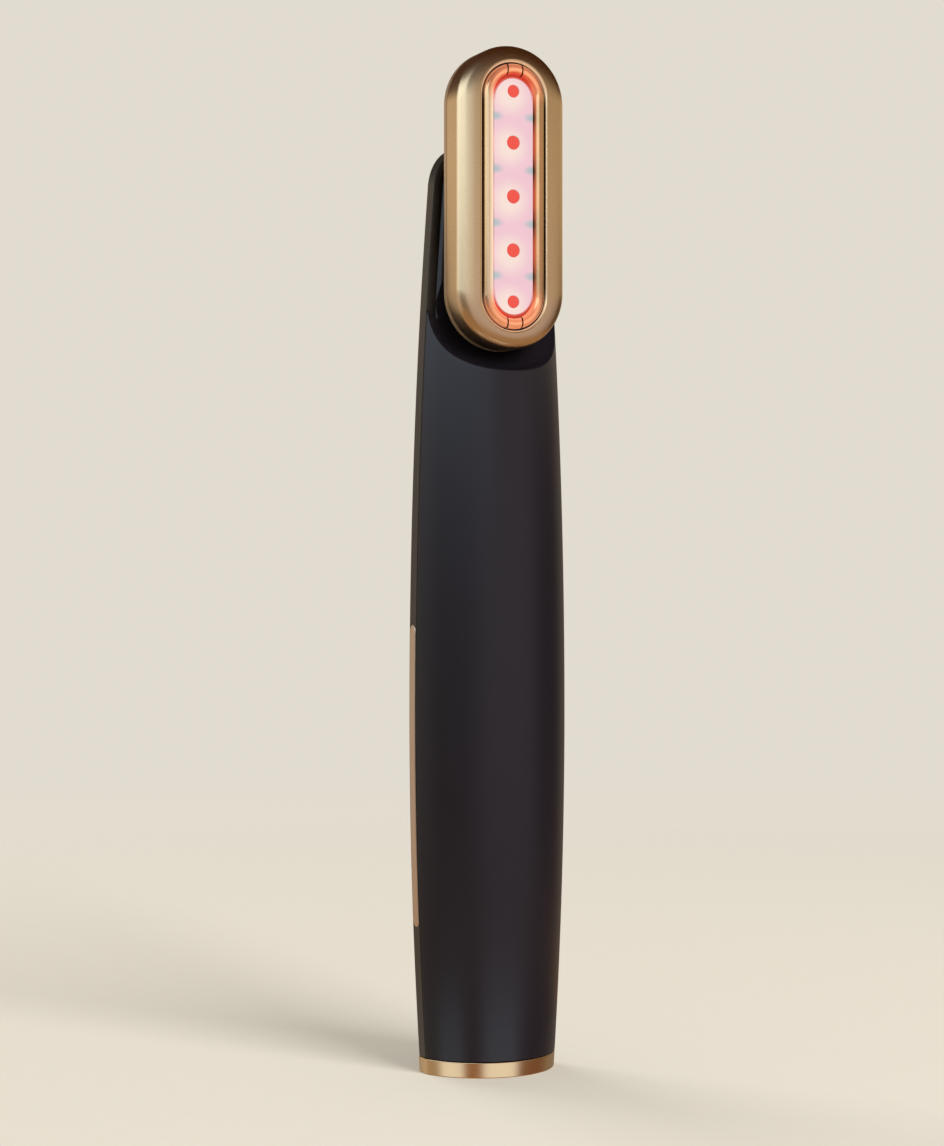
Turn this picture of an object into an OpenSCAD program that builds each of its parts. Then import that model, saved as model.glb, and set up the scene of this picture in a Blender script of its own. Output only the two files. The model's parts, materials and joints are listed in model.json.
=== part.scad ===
// A skin firming wand: a slim dark handle that stands on a flat metal base, with a
// swivelling oval head on a flat paddle at its top. +Z is up, and the head faces -Y.
// The origin is the middle of the base. The two covers of the handle meet in the plane
// y = 0, and sizes called "front" are distances ahead of that plane.

/* [Handle] */
// Height of the handle, from the base to the top of the paddle
body_h = 154.2; // [140:0.1:190]
// Width at the widest point of the grip
body_w = 27; // [25:0.1:33]
// Width at the base
base_w = 23.1; // [21:0.1:24.5]
// Width that the sides run to at the top, before the corners are rounded
top_w = 19.3; // [18.4:0.1:24.5]
// Height of the widest point
widest_z = 60; // [50:1:75]
// Depth of the flat faces at the sides
side_flat = 3; // [2.8:0.1:5]
// Distance of the front dome's axis behind its side edges
front_centre = 4.7; // [3:0.1:6]
// Distance of the back dome's axis ahead of its side edges
back_centre = 11.6; // [8:0.1:13]
// Radius of the paddle's upper corners
corner_r = 8; // [5:0.1:9]
// Wall of the front cover
front_wall = 1.5; // [1.2:0.1:2]
// Wall of the rear cover
rear_wall = 1.6; // [1.3:0.1:2]
// Height of the metal band round the base
band_h = 2.7; // [2:0.1:4]

/* [Head] */
// Height of the head along its long axis
head_h = 49.7; // [46:0.1:62]
// Width of the head
head_w = 19; // [18.6:0.1:23]
// Distance from the top of the paddle down to the swivel axis
pivot_drop = 10; // [9:0.1:12]
// Gap between the paddle and the back of the head
head_gap = 1.8; // [1.6:0.1:3]
// Side height of the head's back cover
cover_side = 1.9; // [1.6:0.1:2.5]
// Side height of the metal bezel, up to its crown
bezel_side = 5.9; // [5.6:0.1:7.5]
// Radius of the bezel's rounded front edge
nose_r = 2.1; // [1.7:0.1:2.4]
// Wall of the bezel
bezel_wall = 1.3; // [1:0.1:1.5]
// Room between the end of the head and the wall of the pocket
pocket_room = 3.4; // [2:0.05:6]
// Radius at the foot of the pocket's wall
pocket_fillet = 8.8; // [6:0.1:10]

/* [Treatment face] */
// Width of the slot in the bezel
slot_w = 11.8; // [11.6:0.1:12.6]
// Dark gap round the electrodes
slot_gap = 0.55; // [0.3:0.05:0.8]
// Width of the electrode ring's band
electrode_band = 1.7; // [1.5:0.1:1.9]
// How far the electrodes stand proud of the bezel
electrode_proud = 0.5; // [0.2:0.1:1]
// Length of the straight part of the slot
slot_straight = 32.6; // [30:0.1:38]
// How much shorter the window is than the ring round it, both ends together
window_short = 0.4; // [0:0.1:1]
// Width of the spacers between the two electrodes
spacer_w = 2.5; // [1.5:0.1:4]
// Distance between the three middle lights
light_pitch = 8.8; // [8:0.1:9.2]
// Distance from the outer lights to their neighbours
end_light_pitch = 8.4; // [8:0.1:8.8]
// Diameter of the middle lights
light_d = 2.25; // [1.8:0.05:2.4]
// Diameter of the outer lights
end_light_d = 2.05; // [1.6:0.05:2.4]

/* [Grip and button] */
// Length of each hand contact
contact_len = 50; // [30:1:60]
// Width of each hand contact
contact_w = 2.2; // [1.6:0.1:2.3]
// Height of the lower end of the hand contacts
contact_z = 24.2; // [20:0.1:30]
// Diameter of the power button
button_d = 8; // [6:0.1:10]
// Travel of the power button
button_travel = 0.5; // [0.3:0.1:0.6]
// Distance from the pocket down to the button's centre
button_drop = 21; // [20:0.5:24]

/* [Inside] */
// Width of the battery cell
battery_w = 14; // [12:0.5:14.5]
// Length of the battery cell
battery_len = 50; // [30:1:52]
// Thickness of the battery cell
battery_t = 6; // [4:0.1:6.2]
// Width of the main board
board_w = 13; // [12:0.1:13.4]
// Diameter of the vibration motor
motor_d = 6; // [5:0.1:6.5]
// Length of the vibration motor
motor_len = 12; // [8:0.5:12]
// Diameter of the swivel post
post_d = 8; // [7.4:0.1:9.6]
// Bore of the swivel post
post_bore = 5.4; // [4:0.1:5.8]
// Width of the charging socket's shell
socket_w = 8.94; // [8.9:0.01:9]
// Height of the charging socket's shell
socket_t = 3.16; // [3.1:0.01:3.3]

/* [Hidden] */
$fn = 96;

// Fits
face_gap = 0.05;
slide_gap = 0.1;
run_gap = 0.3;
seam_gap = 0.1;
past = 1;

// Places along the handle
pivot_z = body_h - pivot_drop;
pocket_r = head_h / 2 + pocket_room;
pocket_z = pivot_z - pocket_r;
feather = 0.25;
feather_r = pocket_r - pocket_fillet + sqrt(feather * (2 * pocket_fillet - feather));
button_z = pocket_z - button_drop;
contact_mid = contact_z + contact_len / 2;

// Outline and section of the handle
side_steps = 22;
corner_steps = 9;
function arc_radius(run, drop) = (run * run + drop * drop) / (2 * drop);
function arc_drop(run, radius) = radius - sqrt(radius * radius - run * run);
lower_arc = arc_radius(widest_z, (body_w - base_w) / 2);
upper_arc = arc_radius(body_h - widest_z, (body_w - top_w) / 2);
function half_width(z) = body_w / 2 - arc_drop(z - widest_z, z < widest_z ? lower_arc : upper_arc);
function dome_radius(z, centre) = sqrt(pow(half_width(z), 2) + centre * centre);
function back_depth(z) = side_flat + dome_radius(z, back_centre) - back_centre;
function side_z(low, high, i) = low + (high - low) * i / side_steps;

// Inner frame and boards, as distances behind the parting plane
frame_y = 1.1;
frame_t = 1.2;
frame_low = 14;
frame_drop = 6;
frame_high = pocket_z - frame_drop;
frame_room = 0.2;
board_y = frame_y + frame_t;
board_t = 1;
board_back = board_y + board_t;
board_low = 3.2;
board_drop = 4;
board_high = pocket_z - board_drop;
boss_inset = 4.4;
function boss_x(z) = half_width(z) - boss_inset;
boss_d = 3.6;
screw_d = 1.6;
screw_head_d = 2.8;
screw_head_t = 1;
screw_len = 3.4;
board_notch = 0.5;
chip = [5, 1.2, 7];
chip_z = [22, 66];
boss_low = 20;
boss_drop = 10;
boss_z = [boss_low, pocket_z - boss_drop];
screw_room = 0.4;

// Charging socket, on the front of the board's lower end
socket_len = 7.35;
socket_wall = 0.3;
socket_low = 0.3;
socket_y = board_y - socket_t / 2;
tongue_t = 0.7;
tongue_w = 6.7;
socket_round = 1.4;
socket_room = 0.15;
socket_back_t = 0.8;
tongue_recess = 0.6;
board_room = 0.2;

// Battery
battery_z = 29;
battery_round = 1.6;
pad_t = 0.5;
battery_back = frame_y - pad_t;
lead_d = 0.9;
lead_x = 2.4;
lead_rise = 2.2;
lead_room = 0.8;
pad_inset = 2;
pad_drop = 4;

// Hand contacts
contact_t = 0.8;
contact_proud = 0.1;
contact_edge = 0.25;
contact_y = contact_edge + contact_w / 2;
contact_pin_d = 1.2;
spring_t = 0.2;
spring_w = 2;
spring_bend = 0.9;
spring_pad = 1.4;
spring_foot = 2;
spring_room = 0.5;
contact_pin_reach = 0.7;

// Power button, its switch and the status light
button_proud = 0.25;
button_flange_t = 0.7;
button_flange = 0.8;
switch_w = 4.5;
switch_t = 1.5;
plunger_d = 2.2;
plunger_spare = 0.1;
plunger_rise = button_travel + plunger_spare;
plunger_base = 0.9;
plunger_face = board_back + switch_t + plunger_rise;
flange_back = plunger_face + button_flange_t;
button_seat = flange_back + face_gap;
button_boss_w = 1.2;
guide_d = 2;
spigot_h = 2;
spigot_wall = 1;
status_gap = 5.5;
status_z = button_z + button_d / 2 + status_gap;
status_led_t = 0.6;
status_led_w = 1.6;

// Vibration motor
sleeve_t = 0.5;
motor_y = frame_y - sleeve_t - motor_d / 2;
motor_gap = 5;
motor_z = battery_z + battery_len + motor_gap;
motor_lead_x = 1;
motor_lead_drop = 1.2;
sleeve_inset = 1;
sleeve_round = 1;
hub_wall = 0.5;
shaft_d = 1;
weight_d = 5.4;
weight_len = 4;
weight_gap = 1;

// Swivel
bush_wall = 1.1;
bush_bore = post_d + 2 * face_gap;
bush_d = bush_bore + 2 * bush_wall;
stop_inset = 0.65;
stop_w = 1;
flange_edge = 1.1;
neck_inset = 0.2;
stop_in = bush_bore / 2 + stop_inset;
stop_out = stop_in + stop_w;
flange_d = 2 * (stop_out + flange_edge);
flange_t = 0.8;
neck_d = flange_d - 2 * neck_inset;
neck_back = flange_t + slide_gap;
stop_half = 8;
stop_rise = 0.6;
swing = 90;
stop_spare = 1;
washer_t = 0.4;
washer_edge = 1.75;
washer_d = post_d + 2 * washer_edge;
washer_y = front_wall + face_gap;
clip_y = washer_y + washer_t + face_gap;
clip_t = 0.6;
clip_edge = 1.5;
groove_deep = 0.55;
clip_d = post_d + 2 * clip_edge;
groove_d = post_d - 2 * groove_deep;
clip_half_gap = 30;
post_tail = 0.6;
post_end = clip_y + clip_t + post_tail;
post_flange_edge = 2;
post_flange_d = post_d + 2 * post_flange_edge;
post_flange_t = 1;

// Flat cable
cable_w = 3.5;
cable_t = 0.3;
cable_gap = 0.4;
cable_y = post_end + cable_gap;
cable_past = 2;
connector_w = 6;
connector_h = 3.5;
connector_t = 1.2;
connector_inset = 0.5;

// Head, as distances ahead of the parting plane
head_r = head_w / 2;
head_straight = head_h - head_w;
cover_front = head_gap + cover_side;
cover_plate = 1.2;
cover_edge_r = 1;
bezel_back = cover_front + seam_gap;
crown = bezel_back + bezel_side;
bezel_face_t = 1.5;
bezel_ceiling = crown - bezel_face_t;
cover_rim = 0.8;
cover_rim_rise = 0.9;
carrier_sink = 0.8;
carrier_face = crown - carrier_sink;
carrier_back = cover_front + cover_rim_rise + seam_gap;
carrier_r = head_r - bezel_wall - slide_gap;
slot_r = slot_w / 2;
ring_out = slot_r - slot_gap;
ring_in = ring_out - electrode_band;
ring_round = electrode_band / 2;
electrode_crown = crown + electrode_proud;
electrode_gap = 0.05;
pin_d = 0.7;
pin_z = 8;
window_gap = 0.15;
window_sink = 0.3;
window_r = ring_in - window_gap;
window_front = crown - window_sink;
window_t = 1;
window_lip = 0.7;
window_lip_t = 0.6;
window_back = window_front - window_t - window_lip_t;
window_straight = slot_straight - window_short;
reflector_edge = 0.8;
reflector_t = 1.6;
reflector_r = window_r + reflector_edge;
light_board_t = 1;
light_board_edge = 0.35;
light_board_r = ring_out + light_board_edge;
light_board_front = window_back - reflector_t;
light_board_back = light_board_front - light_board_t;
light_sunk = 0.05;
light_front = window_front - light_sunk;
cup_r = 3.5;
cup_room = 0.25;
light_places = [
    -light_pitch - end_light_pitch, -light_pitch, 0, light_pitch, light_pitch + end_light_pitch
];
sunk = 0.2;
pillar_d = 2;
pillar_x = 4;
pillar_z = 14;

// An outline drawn in x and z, made solid between two places along y
module slab(from, to) {
    translate([0, to, 0]) rotate([90, 0, 0]) linear_extrude(to - from) children();
}

module rod_y(d, from, to) {
    translate([0, to, 0]) rotate([90, 0, 0]) cylinder(to - from, d = d);
}

module box(size, low) {
    translate(low) cube(size);
}

module rounded_rect(w, h, r) {
    square([w - 2 * r, h], center = true);
    square([w, h - 2 * r], center = true);
    for (x = [-1, 1], y = [-1, 1]) translate([x * (w / 2 - r), y * (h / 2 - r)]) circle(r);
}

module stadium(r, straight) {
    square([2 * r, straight], center = true);
    for (s = [-1, 1]) translate([0, s * straight / 2]) circle(r);
}

// A profile of distance from the middle line and distance to the front, swept round an oval
module swept_oval(straight) {
    for (s = [0, 1]) {
        mirror([0, 0, s]) translate([0, 0, straight / 2]) rotate([90, 0, 0])
            rotate_extrude(angle = 180) children();
        mirror([s, 0, 0]) translate([0, 0, -straight / 2])
            linear_extrude(straight) mirror([0, 1]) children();
    }
}

// Front view of the handle, drawn smaller by an inset and from a given height up
module handle_outline(inset, low) {
    corner_z = body_h - corner_r;
    corner_x = half_width(corner_z) - corner_r;
    r = corner_r - inset;
    right = concat(
        [for (i = [0:side_steps]) [half_width(side_z(low, corner_z, i)) - inset, side_z(low, corner_z, i)]],
        [for (i = [1:corner_steps]) let (a = 90 * i / corner_steps)
            [corner_x + r * cos(a), corner_z + r * sin(a)]]
    );
    left = [for (i = [len(right) - 1:-1:0]) [-right[i][0], right[i][1]]];
    polygon(concat(right, left));
}

// A dome whose radius follows the width of the handle
module barrel(centre, inset, low) {
    edge = [for (i = [0:side_steps]) let (z = side_z(low, body_h, i)) [dome_radius(z, centre) - inset, z]];
    rotate_extrude() polygon(concat([[0, low]], edge, [[0, body_h]]));
}

module front_form(inset, low) {
    intersection() {
        slab(-body_w, 0) handle_outline(inset, low);
        translate([0, front_centre, 0]) barrel(front_centre, inset, low);
    }
}

module rear_form(inset, low) {
    intersection() {
        slab(0, body_w) handle_outline(inset, low);
        translate([0, side_flat - back_centre, 0]) barrel(back_centre, inset, low);
    }
}

// The space that the head turns in, made larger by a wall
module pocket(wall) {
    foot = pocket_r - pocket_fillet;
    translate([0, 0, pivot_z]) rotate([90, 0, 0]) rotate_extrude() {
        translate([0, -wall]) square([foot, body_w + wall]);
        intersection() {
            translate([foot, pocket_fillet]) circle(pocket_fillet + wall);
            translate([foot - past, -wall]) square([pocket_fillet + wall + past, pocket_fillet + wall]);
        }
        translate([0, pocket_fillet]) square([pocket_r + wall, body_w - pocket_fillet]);
    }
}

module at_pivot() {
    translate([0, 0, pivot_z]) children();
}

module at_bosses() {
    for (s = [-1, 1], z = boss_z) translate([s * boss_x(z), 0, z]) children();
}

// The paddle's floor lies within the rim of the rear cover
module paddle_floor() {
    intersection() {
        slab(0, front_wall) handle_outline(rear_wall + face_gap, band_h);
        pocket(front_wall);
    }
}

// Over the rear cover's rim the foot of the pocket stops at a small step, not a knife edge
module feather_edge() {
    difference() {
        at_pivot() rod_y(2 * feather_r, -past, 0);
        slab(-2 * past, past) handle_outline(rear_wall + face_gap, band_h);
    }
}

module front_cover() {
    color("#2e2c2c") difference() {
        union() {
            difference() {
                front_form(0, band_h);
                difference() {
                    front_form(front_wall, band_h - past);
                    pocket(front_wall);
                }
            }
            paddle_floor();
            intersection() {
                at_bosses() rod_y(boss_d, -body_w, frame_y);
                union() {
                    front_form(front_wall / 2, band_h);
                    box([body_w, frame_y, body_h], [-body_w / 2, 0, 0]);
                }
            }
        }
        pocket(0);
        feather_edge();
        at_pivot() rod_y(bush_d + 2 * face_gap, -past, front_wall + past);
        at_bosses() rod_y(screw_d + face_gap, board_y - screw_len - screw_room, frame_y + past);
    }
}

// The slot for a hand contact, in the side wall on the +x side
module contact_form(grow, out, deep) {
    intersection() {
        translate([0, contact_y, contact_mid]) rotate([90, 0, 90])
            linear_extrude(body_w) rounded_contact(grow);
        difference() {
            slab(0, side_flat) handle_outline(-out, band_h);
            slab(-past, side_flat + past) handle_outline(deep, band_h - past);
        }
    }
}

module rounded_contact(grow) {
    stadium(contact_w / 2 + grow, contact_len - contact_w);
}

module contact_pin(d) {
    reach = half_width(contact_mid) - rear_wall - contact_pin_reach;
    translate([reach, contact_y, contact_mid]) rotate([0, 90, 0])
        cylinder(rear_wall + contact_pin_reach - contact_t / 2, d = d);
}

module rear_cover() {
    color("#50463f") difference() {
        union() {
            difference() {
                rear_form(0, band_h);
                rear_form(rear_wall, band_h - past);
            }
            intersection() {
                rear_form(rear_wall / 2, band_h);
                translate([0, 0, button_z])
                    rod_y(button_d + 2 * button_flange + 2 * button_boss_w, button_seat, body_w);
            }
        }
        translate([0, 0, button_z]) {
            rod_y(button_d + 2 * slide_gap, 0, body_w);
            rod_y(button_d + 2 * button_flange + 2 * run_gap, 0, button_seat);
        }
        translate([0, 0, status_z]) rod_y(guide_d + 2 * face_gap, 0, body_w);
        for (s = [0, 1]) mirror([s, 0, 0]) {
            contact_form(face_gap, past, contact_t + face_gap);
            contact_pin(contact_pin_d + 2 * face_gap);
        }
    }
}

// The base closes the handle, and its spigot stands inside both covers
module base_band() {
    color("#d9b98a") difference() {
        union() {
            base_section(0, band_h - seam_gap);
            difference() {
                base_section(rear_wall + slide_gap, band_h + spigot_h);
                base_section(rear_wall + slide_gap + spigot_wall, band_h + spigot_h + past);
            }
        }
        translate([0, socket_y, -past]) linear_extrude(band_h + 2 * past)
            rounded_rect(socket_w + 2 * socket_room, socket_t + 2 * socket_room, socket_round);
        box([board_w + 2 * board_room, board_t + 2 * board_room, band_h + spigot_h],
            [-board_w / 2 - board_room, board_y - board_room, board_low - board_room]);
    }
}

// The lowest part of the handle's form, up to a height
module base_section(inset, height) {
    intersection() {
        union() {
            front_form(inset, 0);
            rear_form(inset, 0);
        }
        box([body_w * 2, body_w * 2, height], [-body_w, -body_w, 0]);
    }
}

module hand_contact() {
    contact_form(0, contact_proud, contact_t);
    contact_pin(contact_pin_d);
}

module hand_contact_left() {
    color("#a4896f") mirror([1, 0, 0]) hand_contact();
}

module hand_contact_right() {
    color("#a4896f") hand_contact();
}

// Each spring lies on the board, passes the frame's notch and meets the pin of its hand contact
module contact_springs() {
    tip = half_width(contact_mid) - rear_wall - contact_pin_reach;
    foot = board_w / 2 - spring_foot;
    bend = board_w / 2 + spring_bend;
    color("#c9a24e") for (s = [0, 1]) mirror([s, 0, 0]) translate([0, 0, contact_mid - spring_w / 2]) {
        box([bend - foot, spring_t, spring_w], [foot, board_back, 0]);
        box([spring_t, board_back + spring_t - contact_y, spring_w], [bend - spring_t, contact_y, 0]);
        box([tip - bend + spring_t, spring_t, spring_w], [bend - spring_t, contact_y, 0]);
        box([spring_t, spring_pad, spring_w], [tip - spring_t, contact_y - spring_pad / 2, 0]);
    }
}

module inner_frame() {
    color("#d8d4cc") difference() {
        slab(frame_y, frame_y + frame_t) intersection() {
            handle_outline(rear_wall + frame_room, frame_low);
            translate([-body_w, frame_low]) square([2 * body_w, frame_high - frame_low]);
        }
        at_bosses() rod_y(screw_d + 2 * slide_gap, 0, body_w);
        for (s = [0, 1]) mirror([s, 0, 0])
            box([body_w / 2, frame_t + 2 * past, spring_w + 2 * spring_room],
                [board_w / 2 + board_notch, frame_y - past, contact_mid - spring_w / 2 - spring_room]);
        lead_slot();
    }
}

module lead_slot() {
    half = lead_x + lead_d / 2 + lead_room;
    z = battery_z + battery_len + lead_rise;
    box([2 * half, frame_t + 2 * past, lead_d + 2 * lead_room],
        [-half, frame_y - past, z - lead_d / 2 - lead_room]);
}

module frame_screws() {
    color("#9a9a98") at_bosses() {
        rod_y(screw_d, board_y - screw_len, board_y + screw_head_t);
        rod_y(screw_head_d, board_y, board_y + screw_head_t);
    }
}

module main_board() {
    color("#1f5a3c") {
        difference() {
            box([board_w, board_t, board_high - board_low], [-board_w / 2, board_y, board_low]);
            at_bosses() rod_y(screw_head_d + 2 * board_notch, 0, body_w);
        }
        for (z = chip_z) box(chip, [-chip[0] / 2, board_back, z]);
        box([connector_w, connector_t, connector_h],
            [-connector_w / 2, board_back, board_high - connector_h - connector_inset]);
    }
}

module charging_socket() {
    color("#b9b9b6") translate([0, socket_y, socket_low]) difference() {
        linear_extrude(socket_len) rounded_rect(socket_w, socket_t, socket_round);
        translate([0, 0, -past]) linear_extrude(socket_len - socket_back_t + past)
            rounded_rect(socket_w - 2 * socket_wall, socket_t - 2 * socket_wall, socket_round - socket_wall);
    }
}

module socket_tongue() {
    length = socket_len - socket_back_t - tongue_recess;
    color("#262626") translate([0, socket_y, socket_low + tongue_recess])
        linear_extrude(length) square([tongue_w, tongue_t], center = true);
}

module battery_cell() {
    color("#8f9aa3") translate([0, battery_back - battery_t / 2, battery_z])
        linear_extrude(battery_len) rounded_rect(battery_w, battery_t, battery_round);
}

module battery_pad() {
    color("#2b2b2b") box([battery_w - 2 * pad_inset, pad_t, battery_len - 2 * pad_drop],
        [pad_inset - battery_w / 2, battery_back, battery_z + pad_drop]);
}

// A lead leaves the end of its piece, up or down, turns back and meets the board or the frame
module lead(x, y, z, rise, end) {
    translate([x, y, min(z, z + rise)]) cylinder(abs(rise), d = lead_d);
    translate([x, y, z + rise]) sphere(d = lead_d);
    translate([x, 0, z + rise]) rod_y(lead_d, y, end);
}

module battery_leads() {
    color("#b3261e") for (x = [-lead_x, lead_x])
        lead(x, battery_back - battery_t / 2, battery_z + battery_len, lead_rise, board_y);
}

module power_button() {
    face = back_depth(button_z) + button_proud;
    color("#d9b98a") translate([0, 0, button_z]) {
        rod_y(button_d, plunger_face, face);
        rod_y(button_d + 2 * button_flange, plunger_face, flange_back);
    }
}

module button_switch() {
    color("#3a3a3c") translate([0, 0, button_z]) difference() {
        box([switch_w, switch_t, switch_w], [-switch_w / 2, board_back, -switch_w / 2]);
        rod_y(plunger_d + 2 * slide_gap, board_back + switch_t - plunger_base - plunger_rise, body_w);
    }
}

module switch_plunger() {
    color("#c8c8c4") translate([0, 0, button_z])
        rod_y(plunger_d, board_back + switch_t - plunger_base, plunger_face);
}

module status_light() {
    color("#f2e6b0") box([status_led_w, status_led_t, status_led_w],
        [-status_led_w / 2, board_back, status_z - status_led_w / 2]);
}

module status_light_guide() {
    color("#e8e8e4") translate([0, 0, status_z])
        rod_y(guide_d, board_back + status_led_t + slide_gap, back_depth(status_z));
}

module motor_sleeve() {
    outer = motor_d + 2 * sleeve_t;
    length = motor_len - 2 * sleeve_inset;
    color("#4a4a4d") translate([0, motor_y, motor_z + sleeve_inset]) linear_extrude(length) difference() {
        rounded_rect(outer, outer, sleeve_round);
        circle(d = motor_d);
    }
}

module vibration_motor() {
    color("#c0c0bd") translate([0, motor_y, motor_z]) difference() {
        cylinder(motor_len, d = motor_d);
        translate([0, 0, motor_len / 2]) cylinder(motor_len, d = shaft_d + 2 * face_gap);
    }
}

module motor_leads() {
    color("#2255aa") for (x = [-motor_lead_x, motor_lead_x])
        lead(x, motor_y, motor_z, -motor_lead_drop, frame_y);
}

// The shaft with its half-round weight
module eccentric_weight() {
    color("#8a8a88") translate([0, motor_y, motor_z]) {
        translate([0, 0, motor_len / 2 + sunk])
            cylinder(motor_len / 2 + weight_gap + weight_len - sunk, d = shaft_d);
        translate([0, 0, motor_len + weight_gap]) linear_extrude(weight_len) union() {
            circle(d = shaft_d + 2 * hub_wall);
            intersection() {
                circle(d = weight_d);
                translate([-weight_d / 2, -weight_d]) square(weight_d);
            }
        }
    }
}

// A flanged sleeve with a lug that stops the head at either end of its swing
module swivel_bush() {
    color("#3c3c3e") at_pivot() {
        difference() {
            union() {
                rod_y(bush_d, -flange_t, front_wall);
                rod_y(flange_d, -flange_t, 0);
            }
            rod_y(bush_bore, -body_w, body_w);
        }
        rotate([90, 0, 0]) rotate_extrude(angle = 2 * stop_half, start = -90 - stop_half)
            translate([stop_in, flange_t - sunk]) square([stop_out - stop_in, stop_rise + sunk]);
    }
}

module spring_washer() {
    color("#9c9c98") at_pivot() difference() {
        rod_y(washer_d, washer_y, washer_y + washer_t);
        rod_y(post_d + 2 * slide_gap, 0, body_w);
    }
}

module flat_cable() {
    color("#c8862f") box([cable_w, cable_t, pivot_z + cable_past - board_high + connector_inset],
        [-cable_w / 2, cable_y, board_high - connector_inset]);
}

module swivel_post() {
    color("#8d8d8b") at_pivot() difference() {
        union() {
            rod_y(post_d, -head_gap - cover_plate - post_flange_t, clip_y);
            rod_y(groove_d, clip_y, clip_y + clip_t);
            rod_y(post_d, clip_y + clip_t, post_end);
            rod_y(post_flange_d, -head_gap - cover_plate - post_flange_t, -head_gap - cover_plate);
        }
        rod_y(post_bore, -body_w, body_w);
    }
}

module retaining_clip() {
    color("#6f6f6d") at_pivot() translate([0, clip_y + clip_t, 0]) rotate([90, 0, 0])
        rotate_extrude(angle = 360 - 2 * clip_half_gap, start = clip_half_gap - 90)
            translate([groove_d / 2 + face_gap, face_gap / 2])
                square([(clip_d - groove_d) / 2 - face_gap, clip_t - face_gap]);
}

module head_back_cover() {
    color("#9c8f80") at_pivot() difference() {
        union() {
            swept_oval(head_straight) {
                translate([0, head_gap]) square([head_r - cover_edge_r, cover_side]);
                translate([0, head_gap + cover_edge_r]) square([head_r, cover_side - cover_edge_r]);
                intersection() {
                    translate([head_r - cover_edge_r, head_gap + cover_edge_r]) circle(cover_edge_r);
                    translate([0, head_gap]) square([head_r, cover_edge_r]);
                }
            }
            slab(-cover_front - cover_rim_rise, sunk - cover_front) stadium(carrier_r, head_straight);
            rod_y(neck_d, -head_gap - sunk, -neck_back);
        }
        slab(-crown, -head_gap - cover_plate) stadium(carrier_r - cover_rim, head_straight);
        rod_y(post_d + 2 * face_gap, -body_w, body_w);
        stop_slot();
    }
    color("#9c8f80") at_pivot() for (x = [-pillar_x, pillar_x], z = [-pillar_z, pillar_z])
        translate([x, 0, z]) rod_y(pillar_d, -light_board_back, sunk - head_gap - cover_plate);
}

// Room for the stop lug, which meets the ends of this slot when the head is crosswise
module stop_slot() {
    half = swing + stop_half + stop_spare;
    rotate([90, 0, 0]) rotate_extrude(angle = 2 * half, start = -90 - half)
        translate([stop_in - run_gap, neck_back - past])
            square([stop_out - stop_in + 2 * run_gap, past + stop_rise]);
}

module head_bezel() {
    color("#be9b71") at_pivot() difference() {
        swept_oval(head_straight) difference() {
            union() {
                translate([head_r - nose_r, crown - nose_r]) circle(nose_r);
                translate([head_r - 2 * nose_r - sunk, bezel_back])
                    square([2 * nose_r + sunk, crown - nose_r - bezel_back]);
            }
            translate([0, bezel_back - past])
                square([head_r - bezel_wall, bezel_ceiling - bezel_back + past]);
        }
        slab(-crown - past, 0) stadium(slot_r, slot_straight);
    }
}

module electrode_carrier() {
    color("#30180a") at_pivot() difference() {
        union() {
            slab(-bezel_ceiling, -carrier_back) stadium(carrier_r, head_straight);
            slab(-carrier_face, -carrier_back) stadium(slot_r - face_gap, slot_straight);
        }
        slab(-light_board_front, 0) stadium(light_board_r + slide_gap, slot_straight);
        slab(-window_back, 0) stadium(reflector_r + face_gap, slot_straight);
        slab(-window_back - window_lip_t, 0) stadium(window_r + window_lip + face_gap, window_straight);
        slab(-crown, 0) stadium(window_r + face_gap, window_straight);
        for (x = [-1, 1], z = [-pin_z, pin_z])
            translate([x * (ring_out - pin_d / 2), 0, z]) rod_y(pin_d + 2 * face_gap, -crown, 0);
    }
}

module electrode_ring() {
    swept_oval(slot_straight) intersection() {
        union() {
            translate([ring_in + ring_round, electrode_crown - ring_round]) circle(ring_round);
            translate([ring_in, 0]) square([electrode_band, electrode_crown - ring_round]);
        }
        translate([ring_in, carrier_face]) square([electrode_band, crown]);
    }
}

module electrode() {
    intersection() {
        electrode_ring();
        box([head_w, crown * 2, head_h], [spacer_w / 2 + electrode_gap, -crown * 2, -head_h / 2]);
    }
    for (z = [-pin_z, pin_z]) translate([ring_out - pin_d / 2, 0, z])
        rod_y(pin_d, -carrier_face - sunk, -light_board_front);
}

module electrode_left() {
    color("#c5a576") at_pivot() mirror([1, 0, 0]) electrode();
}

module electrode_right() {
    color("#c5a576") at_pivot() electrode();
}

module electrode_spacers() {
    color("#b08a5c") at_pivot() for (s = [0, 1]) mirror([0, 0, s]) intersection() {
        electrode_ring();
        box([spacer_w, crown * 2, head_h], [-spacer_w / 2, -crown * 2, 0]);
    }
}

module head_window() {
    color("#f0c8ce") at_pivot() difference() {
        union() {
            slab(-window_front, -window_back) stadium(window_r, window_straight);
            slab(-window_back - window_lip_t, -window_back) stadium(window_r + window_lip, window_straight);
        }
        light_rods(2 * face_gap, window_back - past, window_front + past);
    }
}

module reflector() {
    color("#f8ded5") at_pivot() difference() {
        slab(-window_back, -light_board_front) stadium(reflector_r, slot_straight);
        for (z = light_places) translate([0, -light_board_front, z]) rotate([90, 0, 0])
            cylinder(window_back - light_board_front, r1 = light_d / 2 + cup_room, r2 = cup_r);
    }
}

module light_board() {
    color("#e9e6de") at_pivot() {
        slab(-light_board_front, -light_board_back) stadium(light_board_r, slot_straight);
        box([connector_w, connector_t, connector_h],
            [-connector_w / 2, -light_board_back, -connector_h / 2]);
    }
}

// Each light stands on its board, in its cup, and its face shows in the window
module lights() {
    color("#e95d50") at_pivot() light_rods(0, light_board_front, light_front);
}

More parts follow.
